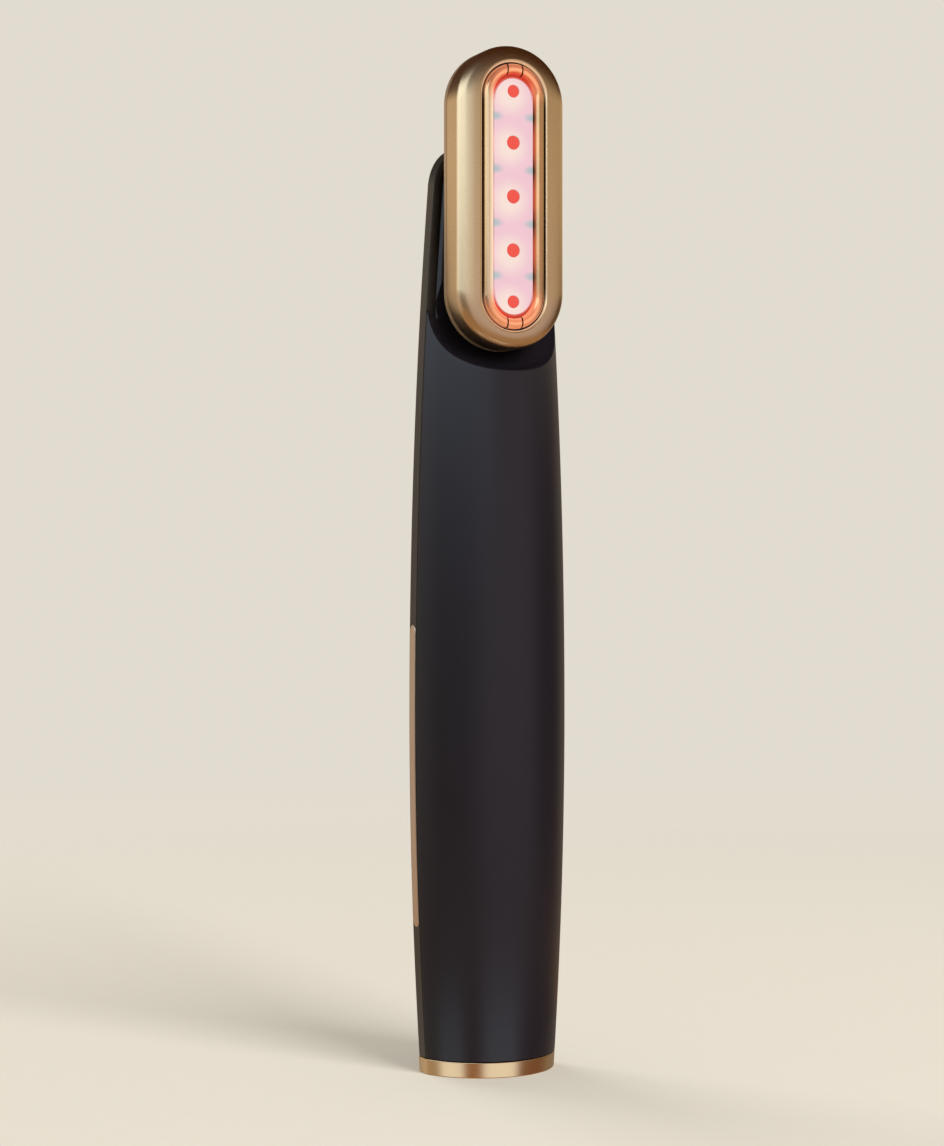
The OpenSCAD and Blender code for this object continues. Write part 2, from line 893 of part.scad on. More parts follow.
// A rod for each light, the outer two thinner, from one distance ahead to another
module light_rods(grow, low, high) {
    for (i = [0:len(light_places) - 1]) translate([0, 0, light_places[i]])
        rod_y((i % 4 == 0 ? end_light_d : light_d) + grow, -high, -low);
}

module head_lead() {
    color("#c8862f") at_pivot() box([cable_w, light_board_back - connector_t + post_end + slide_gap, cable_t],
        [-cable_w / 2, -light_board_back + connector_t, -cable_t / 2]);
}

front_cover();
rear_cover();
base_band();
hand_contact_left();
hand_contact_right();
contact_springs();
inner_frame();
frame_screws();
main_board();
charging_socket();
socket_tongue();
battery_cell();
battery_pad();
battery_leads();
power_button();
button_switch();
switch_plunger();
status_light();
status_light_guide();
vibration_motor();
motor_sleeve();
motor_leads();
eccentric_weight();
swivel_bush();
spring_washer();
flat_cable();
swivel_post();
retaining_clip();
head_back_cover();
head_bezel();
electrode_carrier();
electrode_left();
electrode_right();
electrode_spacers();
head_window();
reflector();
light_board();
lights();
head_lead();
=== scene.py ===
"""A skin firming wand: visible shells, metal rims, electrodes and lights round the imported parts."""

import json
from math import acos, atan, atan2, cos, hypot, pi, radians, sin, sqrt

import bmesh
import bpy
from bpy.props import FloatProperty, FloatVectorProperty, PointerProperty
from mathutils import Euler, Matrix, Vector


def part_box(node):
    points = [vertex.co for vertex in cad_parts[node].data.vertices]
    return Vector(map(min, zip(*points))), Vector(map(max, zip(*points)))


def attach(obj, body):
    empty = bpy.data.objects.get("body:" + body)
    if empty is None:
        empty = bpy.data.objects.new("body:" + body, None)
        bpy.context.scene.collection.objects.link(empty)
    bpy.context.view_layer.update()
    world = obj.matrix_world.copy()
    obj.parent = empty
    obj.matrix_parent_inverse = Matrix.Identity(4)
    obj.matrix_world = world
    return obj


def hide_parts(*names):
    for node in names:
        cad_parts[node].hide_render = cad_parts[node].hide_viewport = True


bl_info = {
    "name": "Skin firming wand",
    "version": (1, 0, 0),
    "blender": (4, 5, 0),
    "location": "3D View > Sidebar > Wand",
    "description": "Models the visible pieces of a skin firming wand and its studio",
    "category": "Add Mesh",
}

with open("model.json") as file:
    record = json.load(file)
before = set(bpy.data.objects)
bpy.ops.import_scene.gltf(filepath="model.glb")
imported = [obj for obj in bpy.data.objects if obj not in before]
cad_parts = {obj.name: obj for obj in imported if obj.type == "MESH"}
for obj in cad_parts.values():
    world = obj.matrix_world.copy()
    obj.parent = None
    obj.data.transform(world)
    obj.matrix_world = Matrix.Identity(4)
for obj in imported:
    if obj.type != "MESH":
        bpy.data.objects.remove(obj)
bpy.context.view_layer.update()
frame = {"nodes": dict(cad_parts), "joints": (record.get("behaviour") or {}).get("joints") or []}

MM = 0.001
SMALL = 0.001  # millimetres, for telling whether a point lies on a surface
WELD = 0.004  # millimetres, under which points are one
# Millimetres above and below the swivel between which the head's straight sides turn into its ends
HEAD_ENDS = 14.5, 18.5
NOISE_RANGE = 0.3, 0.7  # where nearly all of a noise's values lie


def linear(hex_colour):
    """The linear colour of an sRGB hex value such as 2e2c2c, with an alpha of 1."""
    parts = [int(hex_colour[i : i + 2], 16) / 255 for i in (0, 2, 4)]
    return tuple(
        part / 12.92 if part <= 0.04045 else ((part + 0.055) / 1.055) ** 2.4 for part in parts
    ) + (1.0,)


def length(name, description, millimetres):
    return FloatProperty(
        name=name, description=description, default=millimetres * MM,
        min=0, unit="LENGTH", precision=5,
    )


def colour(name, description, hex_colour):
    return FloatVectorProperty(
        name=name, description=description, default=linear(hex_colour),
        size=4, subtype="COLOR", min=0, max=1,
    )


def corners(node):
    """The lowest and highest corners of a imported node, in millimetres."""
    low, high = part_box(node)
    return low / MM, high / MM


def oval(node):
    """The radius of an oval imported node's round ends, and the length of its straight sides."""
    low, high = corners(node)
    return high.x, (high.z - low.z) - 2 * high.x


class WandHandleSizes(bpy.types.PropertyGroup):
    widest_z: length("Widest point", "Height of the widest point of the grip", 60)
    base_width: length("Base width", "Width of the handle at its base", 23.1)
    top_width: length("Top width", "Width that the sides run to at the top", 19.3)
    side_flat: length("Side flat", "Depth of the flat faces at the sides", 3)
    corner_radius: length("Corner radius", "Radius of the paddle's upper corners", 8)
    front_wall: length("Front wall", "Wall of the front cover", 1.5)
    rear_wall: length("Rear wall", "Wall of the rear cover", 1.6)
    pocket_room: length("Pocket room", "Room from the head's end to the pocket's wall", 3.4)
    pocket_fillet: length("Pocket fillet", "Radius at the foot of the pocket's wall", 8.8)
    feather: length("Feather", "Least thickness of the front cover over the rear cover's rim", 0.25)
    floor_inset: length("Floor inset", "Distance of the paddle's floor from its outline", 1.65)
    bush_hole: length("Bush hole", "Radius of the hole for the swivel bush", 5.2)
    edge_round: length("Edge round", "Rounding of the edges where covers meet", 0.08)
    back_round: length("Back round", "Rounding of the edge between the sides and the back", 0.5)
    contact_round: length("Contact round", "Rounding of a hand contact's outer edge", 0.16)
    pin_width: length("Pin width", "Diameter of the pin behind a hand contact", 1.2)
    contact_gap: length("Contact gap", "Gap round a hand contact", 0.09)
    contact_depth: length("Contact depth", "Depth that a hand contact stands in its slot", 0.8)
    socket_radius: length("Socket radius", "Corner radius of the mouth of the charging socket", 1.4)
    socket_room: length("Socket room", "Gap between the charging socket and its mouth", 0.15)
    base_round: length("Base round", "Rounding of the base's edges", 0.16)
    spigot_wall: length("Spigot wall", "Wall of the base's rim inside the covers", 1)


class WandHeadSizes(bpy.types.PropertyGroup):
    bezel_wall: length("Bezel wall", "Wall of the bezel's side", 1.3)
    bezel_face: length("Bezel face", "Thickness of the bezel's face", 1.5)
    slot_radius: length("Slot radius", "Half the width of the bezel's slot, behind its lip", 5.9)
    lip_radius: length("Lip radius", "Half the width of the slot between its lips", 5.66)
    lip_depth: length("Lip depth", "Thickness of the slot's lip", 0.75)
    electrode_band: length("Electrode band", "Width of the electrode ring's band", 1.7)
    spacer_gap: length("Spacer gap", "Gap between an electrode and a spacer", 0.1)
    pin_width: length("Pin width", "Diameter of an electrode's pins", 0.7)
    pin_height: length("Pin height", "Height of an electrode's pins above and below the swivel", 8)
    window_lip: length("Window lip", "Width of the lip that holds the window", 0.7)
    window_lip_depth: length("Window lip depth", "Thickness of the window's lip", 0.6)
    window_round: length("Window round", "Rounding of the window's front edge", 0.14)
    light_pitch: length("Light pitch", "Distance between the three middle lights", 8.8)
    end_light_pitch: length("End light pitch", "Distance from an outer light to its neighbour", 8.4)
    light_width: length("Light width", "Diameter of the middle lights", 2.25)
    end_light_width: length("End light width", "Diameter of the outer lights", 2.05)
    light_gap: length("Light gap", "Gap round a light in the window", 0.05)


class WandButtonSizes(bpy.types.PropertyGroup):
    button_width: length("Button width", "Diameter of the power button", 8)
    button_gap: length("Button gap", "Gap round the power button", 0.1)
    dish: length("Dish", "Depth of the hollow in the button's face", 0.35)
    flange_depth: length("Flange depth", "Thickness of the button's flange", 0.7)
    guide_gap: length("Guide gap", "Gap round the status light guide", 0.05)


class WandColours(bpy.types.PropertyGroup):
    front: colour("Front cover", "Fine matt plastic of the front cover", "17151d")
    rear: colour("Rear cover", "Fine matt plastic of the rear cover", "332e2a")
    gold: colour("Gold", "Champagne gold of the bezel and the base", "e4c79e")
    contact: colour("Contact", "Satin metal of the hand contacts", "e2cdb8")
    electrode: colour("Electrode", "Polished metal of the electrodes", "cfa97e")
    back: colour("Back cover", "Painted plastic of the head's back cover", "c8aa88")
    window: colour("Window", "Pink of the lit window", "eec6d2")
    halo: colour("Halo", "Cream round each light", "f8e2da")
    # Painted shade of the lit window, at its edge between two lights
    shade: colour("Shade", "Blue grey at the window's edge between lights", "b6c2c8")
    glow: colour("Glow", "Red light at the window's edge", "e2402c")
    bleed: colour("Bleed", "Orange light on the metal near a light", "ff7a4c")
    light: colour("Light", "Red of the lights", "e65045")
    pale: colour("Pale", "Floor and backdrop", "e2dcd0")


def sizes(group):
    """The sizes in one of the scene's property groups, in millimetres, by name."""
    settings = getattr(bpy.context.scene, group)
    return {name: getattr(settings, name) / MM for name in settings.__annotations__}


def fall(run, full_run, full_drop):
    """How far an arc that starts level drops in a run, when it drops full_drop in full_run."""
    radius = (full_run**2 + full_drop**2) / (2 * full_drop)
    return radius - sqrt(radius**2 - run**2)


def between(low, high, test):
    """The value between low and high where a test that holds at low stops holding."""
    for _ in range(40):
        middle = (low + high) / 2
        if test(middle):
            low = middle
        else:
            high = middle
    return low


def axis_behind(half, rise):
    """How far behind its chord the centre of an arc lies, from half its chord and its rise."""
    return (half**2 - rise**2) / (2 * rise)


class HandleForm:
    """The outer form of the handle, in millimetres, with the front at -y."""

    def __init__(self):
        self.size = sizes("wand_handle")
        high = corners("rear_cover")[1]
        self.top = high.z
        self.half = high.x
        self.low = corners("front_cover")[0].z
        self.side = self.size["side_flat"]
        self.front_axis = axis_behind(self.half, -corners("front_cover")[0].y)
        self.back_axis = axis_behind(self.half, high.y - self.side)
        joint = next(j for j in frame["joints"] if j["name"] == "head_swivel")
        self.pivot = joint["pos_m"][2] / MM
        self.corner_z = self.top - self.size["corner_radius"]
        self.corner_x = self.half_width(self.corner_z) - self.size["corner_radius"]
        self.pocket = corners("head_bezel")[1].z - self.pivot + self.size["pocket_room"]
        self.fillet = self.size["pocket_fillet"]
        self.foot = self.pocket - self.fillet
        self.feather_angle = acos(1 - self.size["feather"] / self.fillet)
        self.feather = self.foot + self.fillet * sin(self.feather_angle)

    def half_width(self, z):
        if z < self.size["widest_z"]:
            run, drop = self.size["widest_z"], self.half - self.size["base_width"] / 2
        else:
            run, drop = self.top - self.size["widest_z"], self.half - self.size["top_width"] / 2
        return self.half - fall(z - self.size["widest_z"], run, drop)

    def outline(self, z, inset=0.0):
        """Half the width of the front view at a height, or less than nothing above its top."""
        rise = z - self.corner_z
        if rise <= 0:
            return self.half_width(z) - inset
        radius = self.size["corner_radius"] - inset
        return self.corner_x + sqrt(radius**2 - rise**2) if rise <= radius else -1.0

    def front(self, x, z):
        span = self.half_width(z) ** 2 + self.front_axis**2 - x**2
        return min(0.0, self.front_axis - sqrt(max(0.0, span)))

    def back(self, x, z):
        half = self.half_width(z)
        span = half**2 + self.back_axis**2 - min(abs(x), half) ** 2
        return self.side - self.back_axis + sqrt(span)

    def on_front(self, point):
        return abs(self.front(point.x, point.z) - point.y) < 2 * SMALL

    def on_back(self, point):
        return abs(self.back(point.x, point.z) - point.y) < 2 * SMALL

    def ray(self, angle, run):
        """The x and z at a run from the pivot, on a ray that points straight down at angle 0."""
        return run * sin(angle), self.pivot - run * cos(angle)

    def wall(self, bend):
        """The run from the pivot and the y of a point on the fillet of the pocket's wall."""
        return self.foot + self.fillet * sin(bend), -self.fillet * (1 - cos(bend))

    def crease(self, angle):
        """The bend of the fillet at which the pocket's wall meets the dome on a ray."""

        def inside(bend):
            run, y = self.wall(bend)
            return y > self.front(*self.ray(angle, run))

        return between(self.feather_angle, pi / 2, inside)

    def side_angle(self, inset):
        """The ray on which the pocket's foot runs out over the outline, drawn in by an inset."""

        def inside(angle):
            x, z = self.ray(angle, self.feather)
            return x < self.outline(z, inset)

        return between(0, pi / 2, inside)

    def floor_reach(self, angle):
        """The run from the pivot to the edge of the paddle's floor on a ray."""

        def inside(run):
            x, z = self.ray(angle, run)
            return abs(x) < self.outline(z, self.size["floor_inset"])

        return between(0, self.feather, inside)


def spread(start, end, steps):
    return [start + (end - start) * i / steps for i in range(steps + 1)]


def each_once(items):
    """The items without their repeats, in an order that is the same in every run."""
    return list(dict.fromkeys(items))


def verts_in(geometry):
    return [item for item in geometry if isinstance(item, bmesh.types.BMVert)]


def edges_in(geometry):
    return [item for item in geometry if isinstance(item, bmesh.types.BMEdge)]


def placed_grid(bm, columns, rows, place):
    """Adds a grid of so many columns and rows whose points are placed by their two indices."""
    made = bmesh.ops.create_grid(bm, x_segments=columns, y_segments=rows, size=1)
    for vert in made["verts"]:
        i = round((vert.co.x + 1) / 2 * columns)
        j = round((vert.co.y + 1) / 2 * rows)
        vert.co = place(i, j)
    return made["verts"]


def weld(bm):
    bmesh.ops.remove_doubles(bm, verts=bm.verts, dist=WELD)
    bmesh.ops.dissolve_degenerate(bm, edges=bm.edges, dist=WELD / 4)


def face_outwards(bm):
    bmesh.ops.recalc_face_normals(bm, faces=bm.faces)


def face_to(bm, side):
    """Makes an open sheet's faces look to the front, for a side of -1, or to the back, for 1."""
    face_outwards(bm)
    if side * sum(face.normal.y * face.calc_area() for face in bm.faces) < 0:
        bmesh.ops.reverse_faces(bm, faces=bm.faces)


def round_edges(bm, width, segments=3, sharper=30, where=lambda edge: True, kind="OFFSET"):
    """Rounds the edges that are sharper than an angle in degrees and pass a test.

    The width is in millimetres, or with the kind PERCENT a share of the edges that meet the
    rounded one.
    """
    edges = [
        edge
        for edge in bm.edges
        if len(edge.link_faces) == 2 and edge.calc_face_angle() > radians(sharper) and where(edge)
    ]
    bmesh.ops.bevel(
        bm, geom=edges, offset=width, offset_type=kind, affect="EDGES",
        segments=segments, profile=0.5, material=-1, clamp_overlap=False,
    )


def outline_wire(bm, points, closed):
    """Adds a wire at z = 0 through (out, ahead, rounding) points, and rounds its corners."""
    verts = [bm.verts.new((out, -ahead, 0)) for out, ahead, _ in points]
    for a, b in zip(verts, verts[1:]):
        bm.edges.new((a, b))
    if closed:
        bm.edges.new((verts[-1], verts[0]))
    for vert, (_, _, rounding) in zip(verts, points):
        if rounding:
            bmesh.ops.bevel(
                bm, geom=[vert], offset=rounding, offset_type="OFFSET", affect="VERTICES",
                segments=7, profile=0.5, material=-1,
            )


def swept_oval(points, straight, closed=True, steps=32, straight_steps=1):
    """A solid whose outline of (out, ahead, rounding) points is swept round an upright oval.

    The ends of an open outline lie at the oval's middle, or are joined by a flat face.
    """
    bm = bmesh.new()
    outline_wire(bm, points, closed)
    bmesh.ops.translate(bm, vec=(0, 0, straight / 2), verts=bm.verts)
    edges = list(bm.edges)
    for side in (1, -1):
        spun = bmesh.ops.spin(
            bm, geom=edges + each_once(v for e in edges for v in e.verts),
            cent=(0, 0, side * straight / 2), axis=(0, -1, 0), angle=pi, steps=steps,
            use_merge=False, use_duplicate=False,
        )
        edges = edges_in(spun["geom_last"])
        for _ in range(straight_steps):
            made = bmesh.ops.extrude_edge_only(bm, edges=edges)["geom"]
            verts = verts_in(made)
            edges = [edge for edge in edges_in(made) if all(v in verts for v in edge.verts)]
            bmesh.ops.translate(bm, vec=(0, 0, -side * straight / straight_steps), verts=verts)
    weld(bm)
    bmesh.ops.holes_fill(bm, edges=[edge for edge in bm.edges if edge.is_boundary])
    face_outwards(bm)
    return bm


def turned(points, x=0.0, z=0.0, closed=False, steps=64):
    """A solid turned about a line along y through x and z, from (out, ahead, rounding) points."""
    bm = bmesh.new()
    outline_wire(bm, points, closed)
    bmesh.ops.spin(
        bm, geom=list(bm.verts) + list(bm.edges), cent=(0, 0, 0), axis=(0, -1, 0),
        angle=2 * pi, steps=steps, use_merge=True, use_duplicate=False,
    )
    bmesh.ops.translate(bm, vec=(x, 0, z), verts=bm.verts)
    weld(bm)
    face_outwards(bm)
    return bm


def thicken(bm, wall, behind=lambda point: None):
    """Gives an open sheet whose faces point outwards a wall on its inner side.

    Where behind gives a point, the inner side runs through that point instead of along the wall.
    """
    inward = bm.verts.layers.float_vector.new("inward")
    bm.normal_update()
    for vert in bm.verts:
        point = behind(vert.co)
        vert[inward] = point - vert.co if point else -vert.normal * vert.calc_shell_factor() * wall
    made = bmesh.ops.extrude_face_region(bm, geom=list(bm.faces), use_keep_orig=True)["geom"]
    for vert in verts_in(made):
        vert.co += vert[inward]
    bm.verts.layers.float_vector.remove(inward)
    weld(bm)
    face_outwards(bm)


def mesh_of(bm, name, scale=1.0):
    """Makes a mesh of a bmesh, and frees it."""
    bmesh.ops.scale(bm, vec=(scale, scale, scale), verts=bm.verts)
    mesh = bpy.data.meshes.new(name)
    bm.to_mesh(mesh)
    bm.free()
    return mesh


def add_mesh(bm, other):
    """Adds a second bmesh to the first and frees it."""
    mesh = mesh_of(other, "joined")
    bm.from_mesh(mesh)
    bpy.data.meshes.remove(mesh)


def new_object(name, data):
    made = bpy.data.objects.new(name, data)
    bpy.context.scene.collection.objects.link(made)
    return made


def make_piece(bm, name, body, material, replaced, cuts=()):
    """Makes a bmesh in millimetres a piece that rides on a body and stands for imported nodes.

    Each of the cuts is a list of bmeshes that are taken out of the piece together.
    """
    mesh = mesh_of(bm, name, MM)
    mesh.shade_smooth()
    mesh.materials.append(material)
    piece = new_object(name, mesh)
    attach(piece, body)
    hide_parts(*replaced)
    for tools in cuts:
        cut(piece, tools)
    # Keeps flat faces flat beside their rounded edges
    piece.modifiers.new("Even normals", "WEIGHTED_NORMAL").weight = 60


def cut(piece, tools):
    """Cuts bmeshes in millimetres out of a piece."""
    tool = bmesh.new()
    for part in tools:
        add_mesh(tool, part)
    cutter = new_object("tool", mesh_of(tool, "tool", MM))
    modifier = piece.modifiers.new("Cut", "BOOLEAN")
    modifier.operation = "DIFFERENCE"
    modifier.solver = "EXACT"
    modifier.object = cutter
    shown = piece.evaluated_get(bpy.context.evaluated_depsgraph_get())
    before = piece.data
    piece.data = bpy.data.meshes.new_from_object(shown)
    piece.modifiers.clear()
    bpy.data.objects.remove(cutter)
    bpy.data.meshes.remove(before)
    bm = bmesh.new()
    bm.from_mesh(piece.data)
    bmesh.ops.remove_doubles(bm, verts=bm.verts, dist=WELD * MM / 4)
    bmesh.ops.dissolve_degenerate(bm, edges=bm.edges, dist=WELD * MM / 8)
    bm.to_mesh(piece.data)
    bm.free()


def fill(node, values):
    """Gives a node's sockets their values or links, by name or in their order."""
    for name, value in values.items() if isinstance(values, dict) else enumerate(values):
        if isinstance(value, bpy.types.NodeSocket):
            node.id_data.links.new(value, node.inputs[name])
        else:
            node.inputs[name].default_value = value


def add(tree, kind, values=(), out=None, **options):
    """Adds a shader node with its options and its sockets' values or links.

    It gives the output named, or else the first, from which .node leads back to the node.
    """
    node = tree.nodes.new("ShaderNode" + kind)
    for name, value in options.items():
        setattr(node, name, value)
    fill(node, values)
    return node.outputs[out] if out else next(socket for socket in node.outputs if socket.enabled)


def surface(name, **values):
    """A new material, its tree, its main shader and the object coordinates.

    The values are for the shader's sockets, whose names are written with _ for a space.
    """
    material = bpy.data.materials.new(name)
    material.use_nodes = True
    # Glowing faces lie so close to others that sampling them as lamps would leave bright specks
    material.cycles.emission_sampling = "NONE"
    tree = material.node_tree
    shader = tree.nodes["Principled BSDF"]
    fill(shader, {socket.replace("_", " "): value for socket, value in values.items()})
    return material, tree, shader, add(tree, "TexCoord", out="Object")


def each(millimetres):
    """The scale of a pattern that comes again after so many millimetres."""
    return 1 / (millimetres * MM)


def times(shade, factor):
    return tuple(part * factor for part in shade[:3]) + (1.0,)


def layered(tree, base, *layers):
    """Lays colours over a base, each as strongly as its share, and the last on top."""
    for share, shade in layers:
        base = add(tree, "Mix", {"Factor": share, "A": base, "B": shade}, data_type="RGBA")
    return base


def fade(tree, distance, near, far):
    """1 within a near distance, falling smoothly to 0 at a far one, both in millimetres."""
    return add(
        tree, "MapRange", (distance, near * MM, far * MM, 1.0, 0.0), interpolation_type="SMOOTHSTEP"
    )


def nearest(tree, place, points):
    """The distance to the nearest of some points given in millimetres, in metres."""
    found = None
    for point in points:
        run = add(tree, "VectorMath", (place, [c * MM for c in point]), operation="DISTANCE")
        found = run if found is None else add(tree, "Math", (found, run), operation="MINIMUM")
    return found


def grained(name, shade, roughness, grit, clouds, tone, swing, depth, **values):
    """A material of one colour, with a fine grit of some depth and large faint clouds.

    The tone and the swing are how far its colour and its roughness stray to either side, and
    the grit, the clouds and the depth are in millimetres.
    """
    material, tree, shader, place = surface(name, Roughness=roughness, **values)
    fine = add(tree, "TexNoise", {"Vector": place, "Scale": each(grit)})
    cloudy = add(tree, "TexNoise", {"Vector": place, "Scale": each(clouds), "Detail": 3.0})
    fill(shader, {
        "Base Color": layered(tree, times(shade, 1 - tone), (cloudy, times(shade, 1 + tone))),
        "Roughness": add(
            tree, "MapRange", (fine, *NOISE_RANGE, roughness - swing, roughness + swing)
        ),
        "Normal": add(tree, "Bump", {"Height": fine, "Distance": depth * MM, "Strength": 0.5}),
    })
    return material


def matt_moulded_plastic(name, shade, roughness, sheen=0.5):
    """Plastic from a spark-eroded mould: a fine even grain spreads highlights into a dark glow."""
    # The grain is really about 0.1 mm, and is drawn at 0.3 mm so that it shows
    return grained(name, shade, roughness, grit=0.3, clouds=9, tone=0.1, swing=0.04, depth=0.01,
                   IOR=1.45, Specular_IOR_Level=sheen)


def satin_gold(name, shade, roughness):
    """Bead-blasted and plated metal: soft broad reflections in the metal's own colour."""
    return grained(name, shade, roughness, grit=0.16, clouds=6, tone=0.03, swing=0.03, depth=0.003,
                   Metallic=1.0)


def light_heights():
    """The heights of the five lights, in millimetres."""
    size, pivot = sizes("wand_head"), HandleForm().pivot
    near, far = size["light_pitch"], size["light_pitch"] + size["end_light_pitch"]
    return [pivot + rise for rise in (-far, -near, 0, near, far)]


def oval_run(tree, place, straight):
    """How far a point lies from an oval's middle line, and from its middle in height alone."""
    apart = add(tree, "SeparateXYZ", (place,)).node.outputs
    rise = add(tree, "Math", (apart["Z"], HandleForm().pivot * MM), operation="SUBTRACT")
    far = add(tree, "Math", (rise,), operation="ABSOLUTE")
    past = add(tree, "Math", (far, straight / 2 * MM), operation="SUBTRACT")
    capped = add(tree, "Math", (past, 0.0), operation="MAXIMUM")
    flat = add(tree, "CombineXYZ", {"X": apart["X"], "Z": capped})
    return add(tree, "VectorMath", (flat, (0, 0, 0)), operation="DISTANCE"), far


def by_lights(tree, place, near, far):
    """1 within a near distance of a light's face, falling smoothly to 0 at a far one."""
    front = corners("head_window")[0].y
    return fade(tree, nearest(tree, place, [(0, front, z) for z in light_heights()]), near, far)


def near_ends(tree, far):
    """0 along the head's straight sides, rising to 1 at its two ends."""
    start, full = HEAD_ENDS
    return add(tree, "MapRange", (far, start * MM, full * MM), interpolation_type="SMOOTHSTEP")


def lit_window(colours):
    """Frosted polycarbonate, lit from within: pink, cream round the lights, red at its edge."""
    material, tree, shader, place = surface(
        "Frosted polycarbonate window", Roughness=0.35, IOR=1.45
    )
    front = corners("head_window")[0].y
    radius, straight = oval("head_window")
    edge_x = radius - sizes("wand_head")["window_lip"]
    out, far = oval_run(tree, place, straight)
    heights = light_heights()
    # The cream lies a little below and beside each light
    shift = 0.7
    halo = fade(tree, nearest(tree, place, [(-shift, front, z - shift) for z in heights]), 1.0, 4.2)
    gaps = [(a + b) / 2 for a, b in zip(heights, heights[1:])]
    # Painted shade: the window's edge midway between two lights is painted blue grey, where their
    # light falls off. Each grey patch is twice as wide as it is high, so heights count double
    squeezed = add(tree, "Mapping", {"Vector": place, "Scale": (1, 1, 2)})
    painted_shade_spots = [(side * edge_x, front, 2 * z) for z in gaps for side in (-1, 1)]
    shade = fade(tree, nearest(tree, squeezed, painted_shade_spots), 0.4, 2.1)
    cloudy = add(tree, "TexNoise", {"Vector": place, "Scale": each(2.5)})
    middle = fade(tree, out, edge_x - 0.42, edge_x - 0.22)
    rim = add(tree, "Math", (near_ends(tree, far), middle), operation="SUBTRACT", use_clamp=True)
    face = layered(
        tree, colours.window, (cloudy, times(colours.window, 1.06)), (halo, colours.halo),
        (shade, colours.shade), (rim, linear("d4584a")),
    )
    # The side wall carries the light of the nearest lights out to the ring round the window
    facing = add(tree, "SeparateXYZ", (add(tree, "NewGeometry", out="Normal"),), "Y")
    on_face, on_wall = -0.9, -0.5
    to_side = add(tree, "MapRange", (facing, on_face, on_wall))
    face_power, wall_dim, wall_bright = 0.56, 0.04, 0.8
    # What it reflects is dark, so that its own light sets what is seen
    darkened = 0.65
    near_light = by_lights(tree, place, 3.4, 4.6)
    wall_power = add(tree, "MapRange", (near_light, 0.0, 1.0, wall_dim, wall_bright))
    frosted = add(tree, "TexNoise", {"Vector": place, "Scale": each(0.5)})
    fill(shader, {
        "Base Color": layered(tree, face, (darkened, (0, 0, 0, 1))),
        "Emission Color": layered(tree, face, (to_side, colours.glow)),
        "Emission Strength": add(tree, "MapRange", (to_side, 0.0, 1.0, face_power, wall_power)),
        "Normal": add(tree, "Bump", {"Height": frosted, "Distance": 0.004 * MM, "Strength": 0.3}),
    })
    return material


def plain_light(colours):
    """Clear red epoxy, cast smooth: an even red face, seen lit."""
    material, tree, shader, place = surface(
        "Clear red epoxy light", Roughness=0.3, Emission_Color=colours.light, Emission_Strength=0.6
    )
    noise = add(tree, "TexNoise", {"Vector": place, "Scale": each(0.8)})
    dark, pale = times(colours.light, 0.35), times(colours.light, 0.45)
    fill(shader, {"Base Color": layered(tree, dark, (noise, pale))})
    return material


class WandStep:
    """What every step of the wand shares."""

    bl_options = {"REGISTER", "UNDO"}


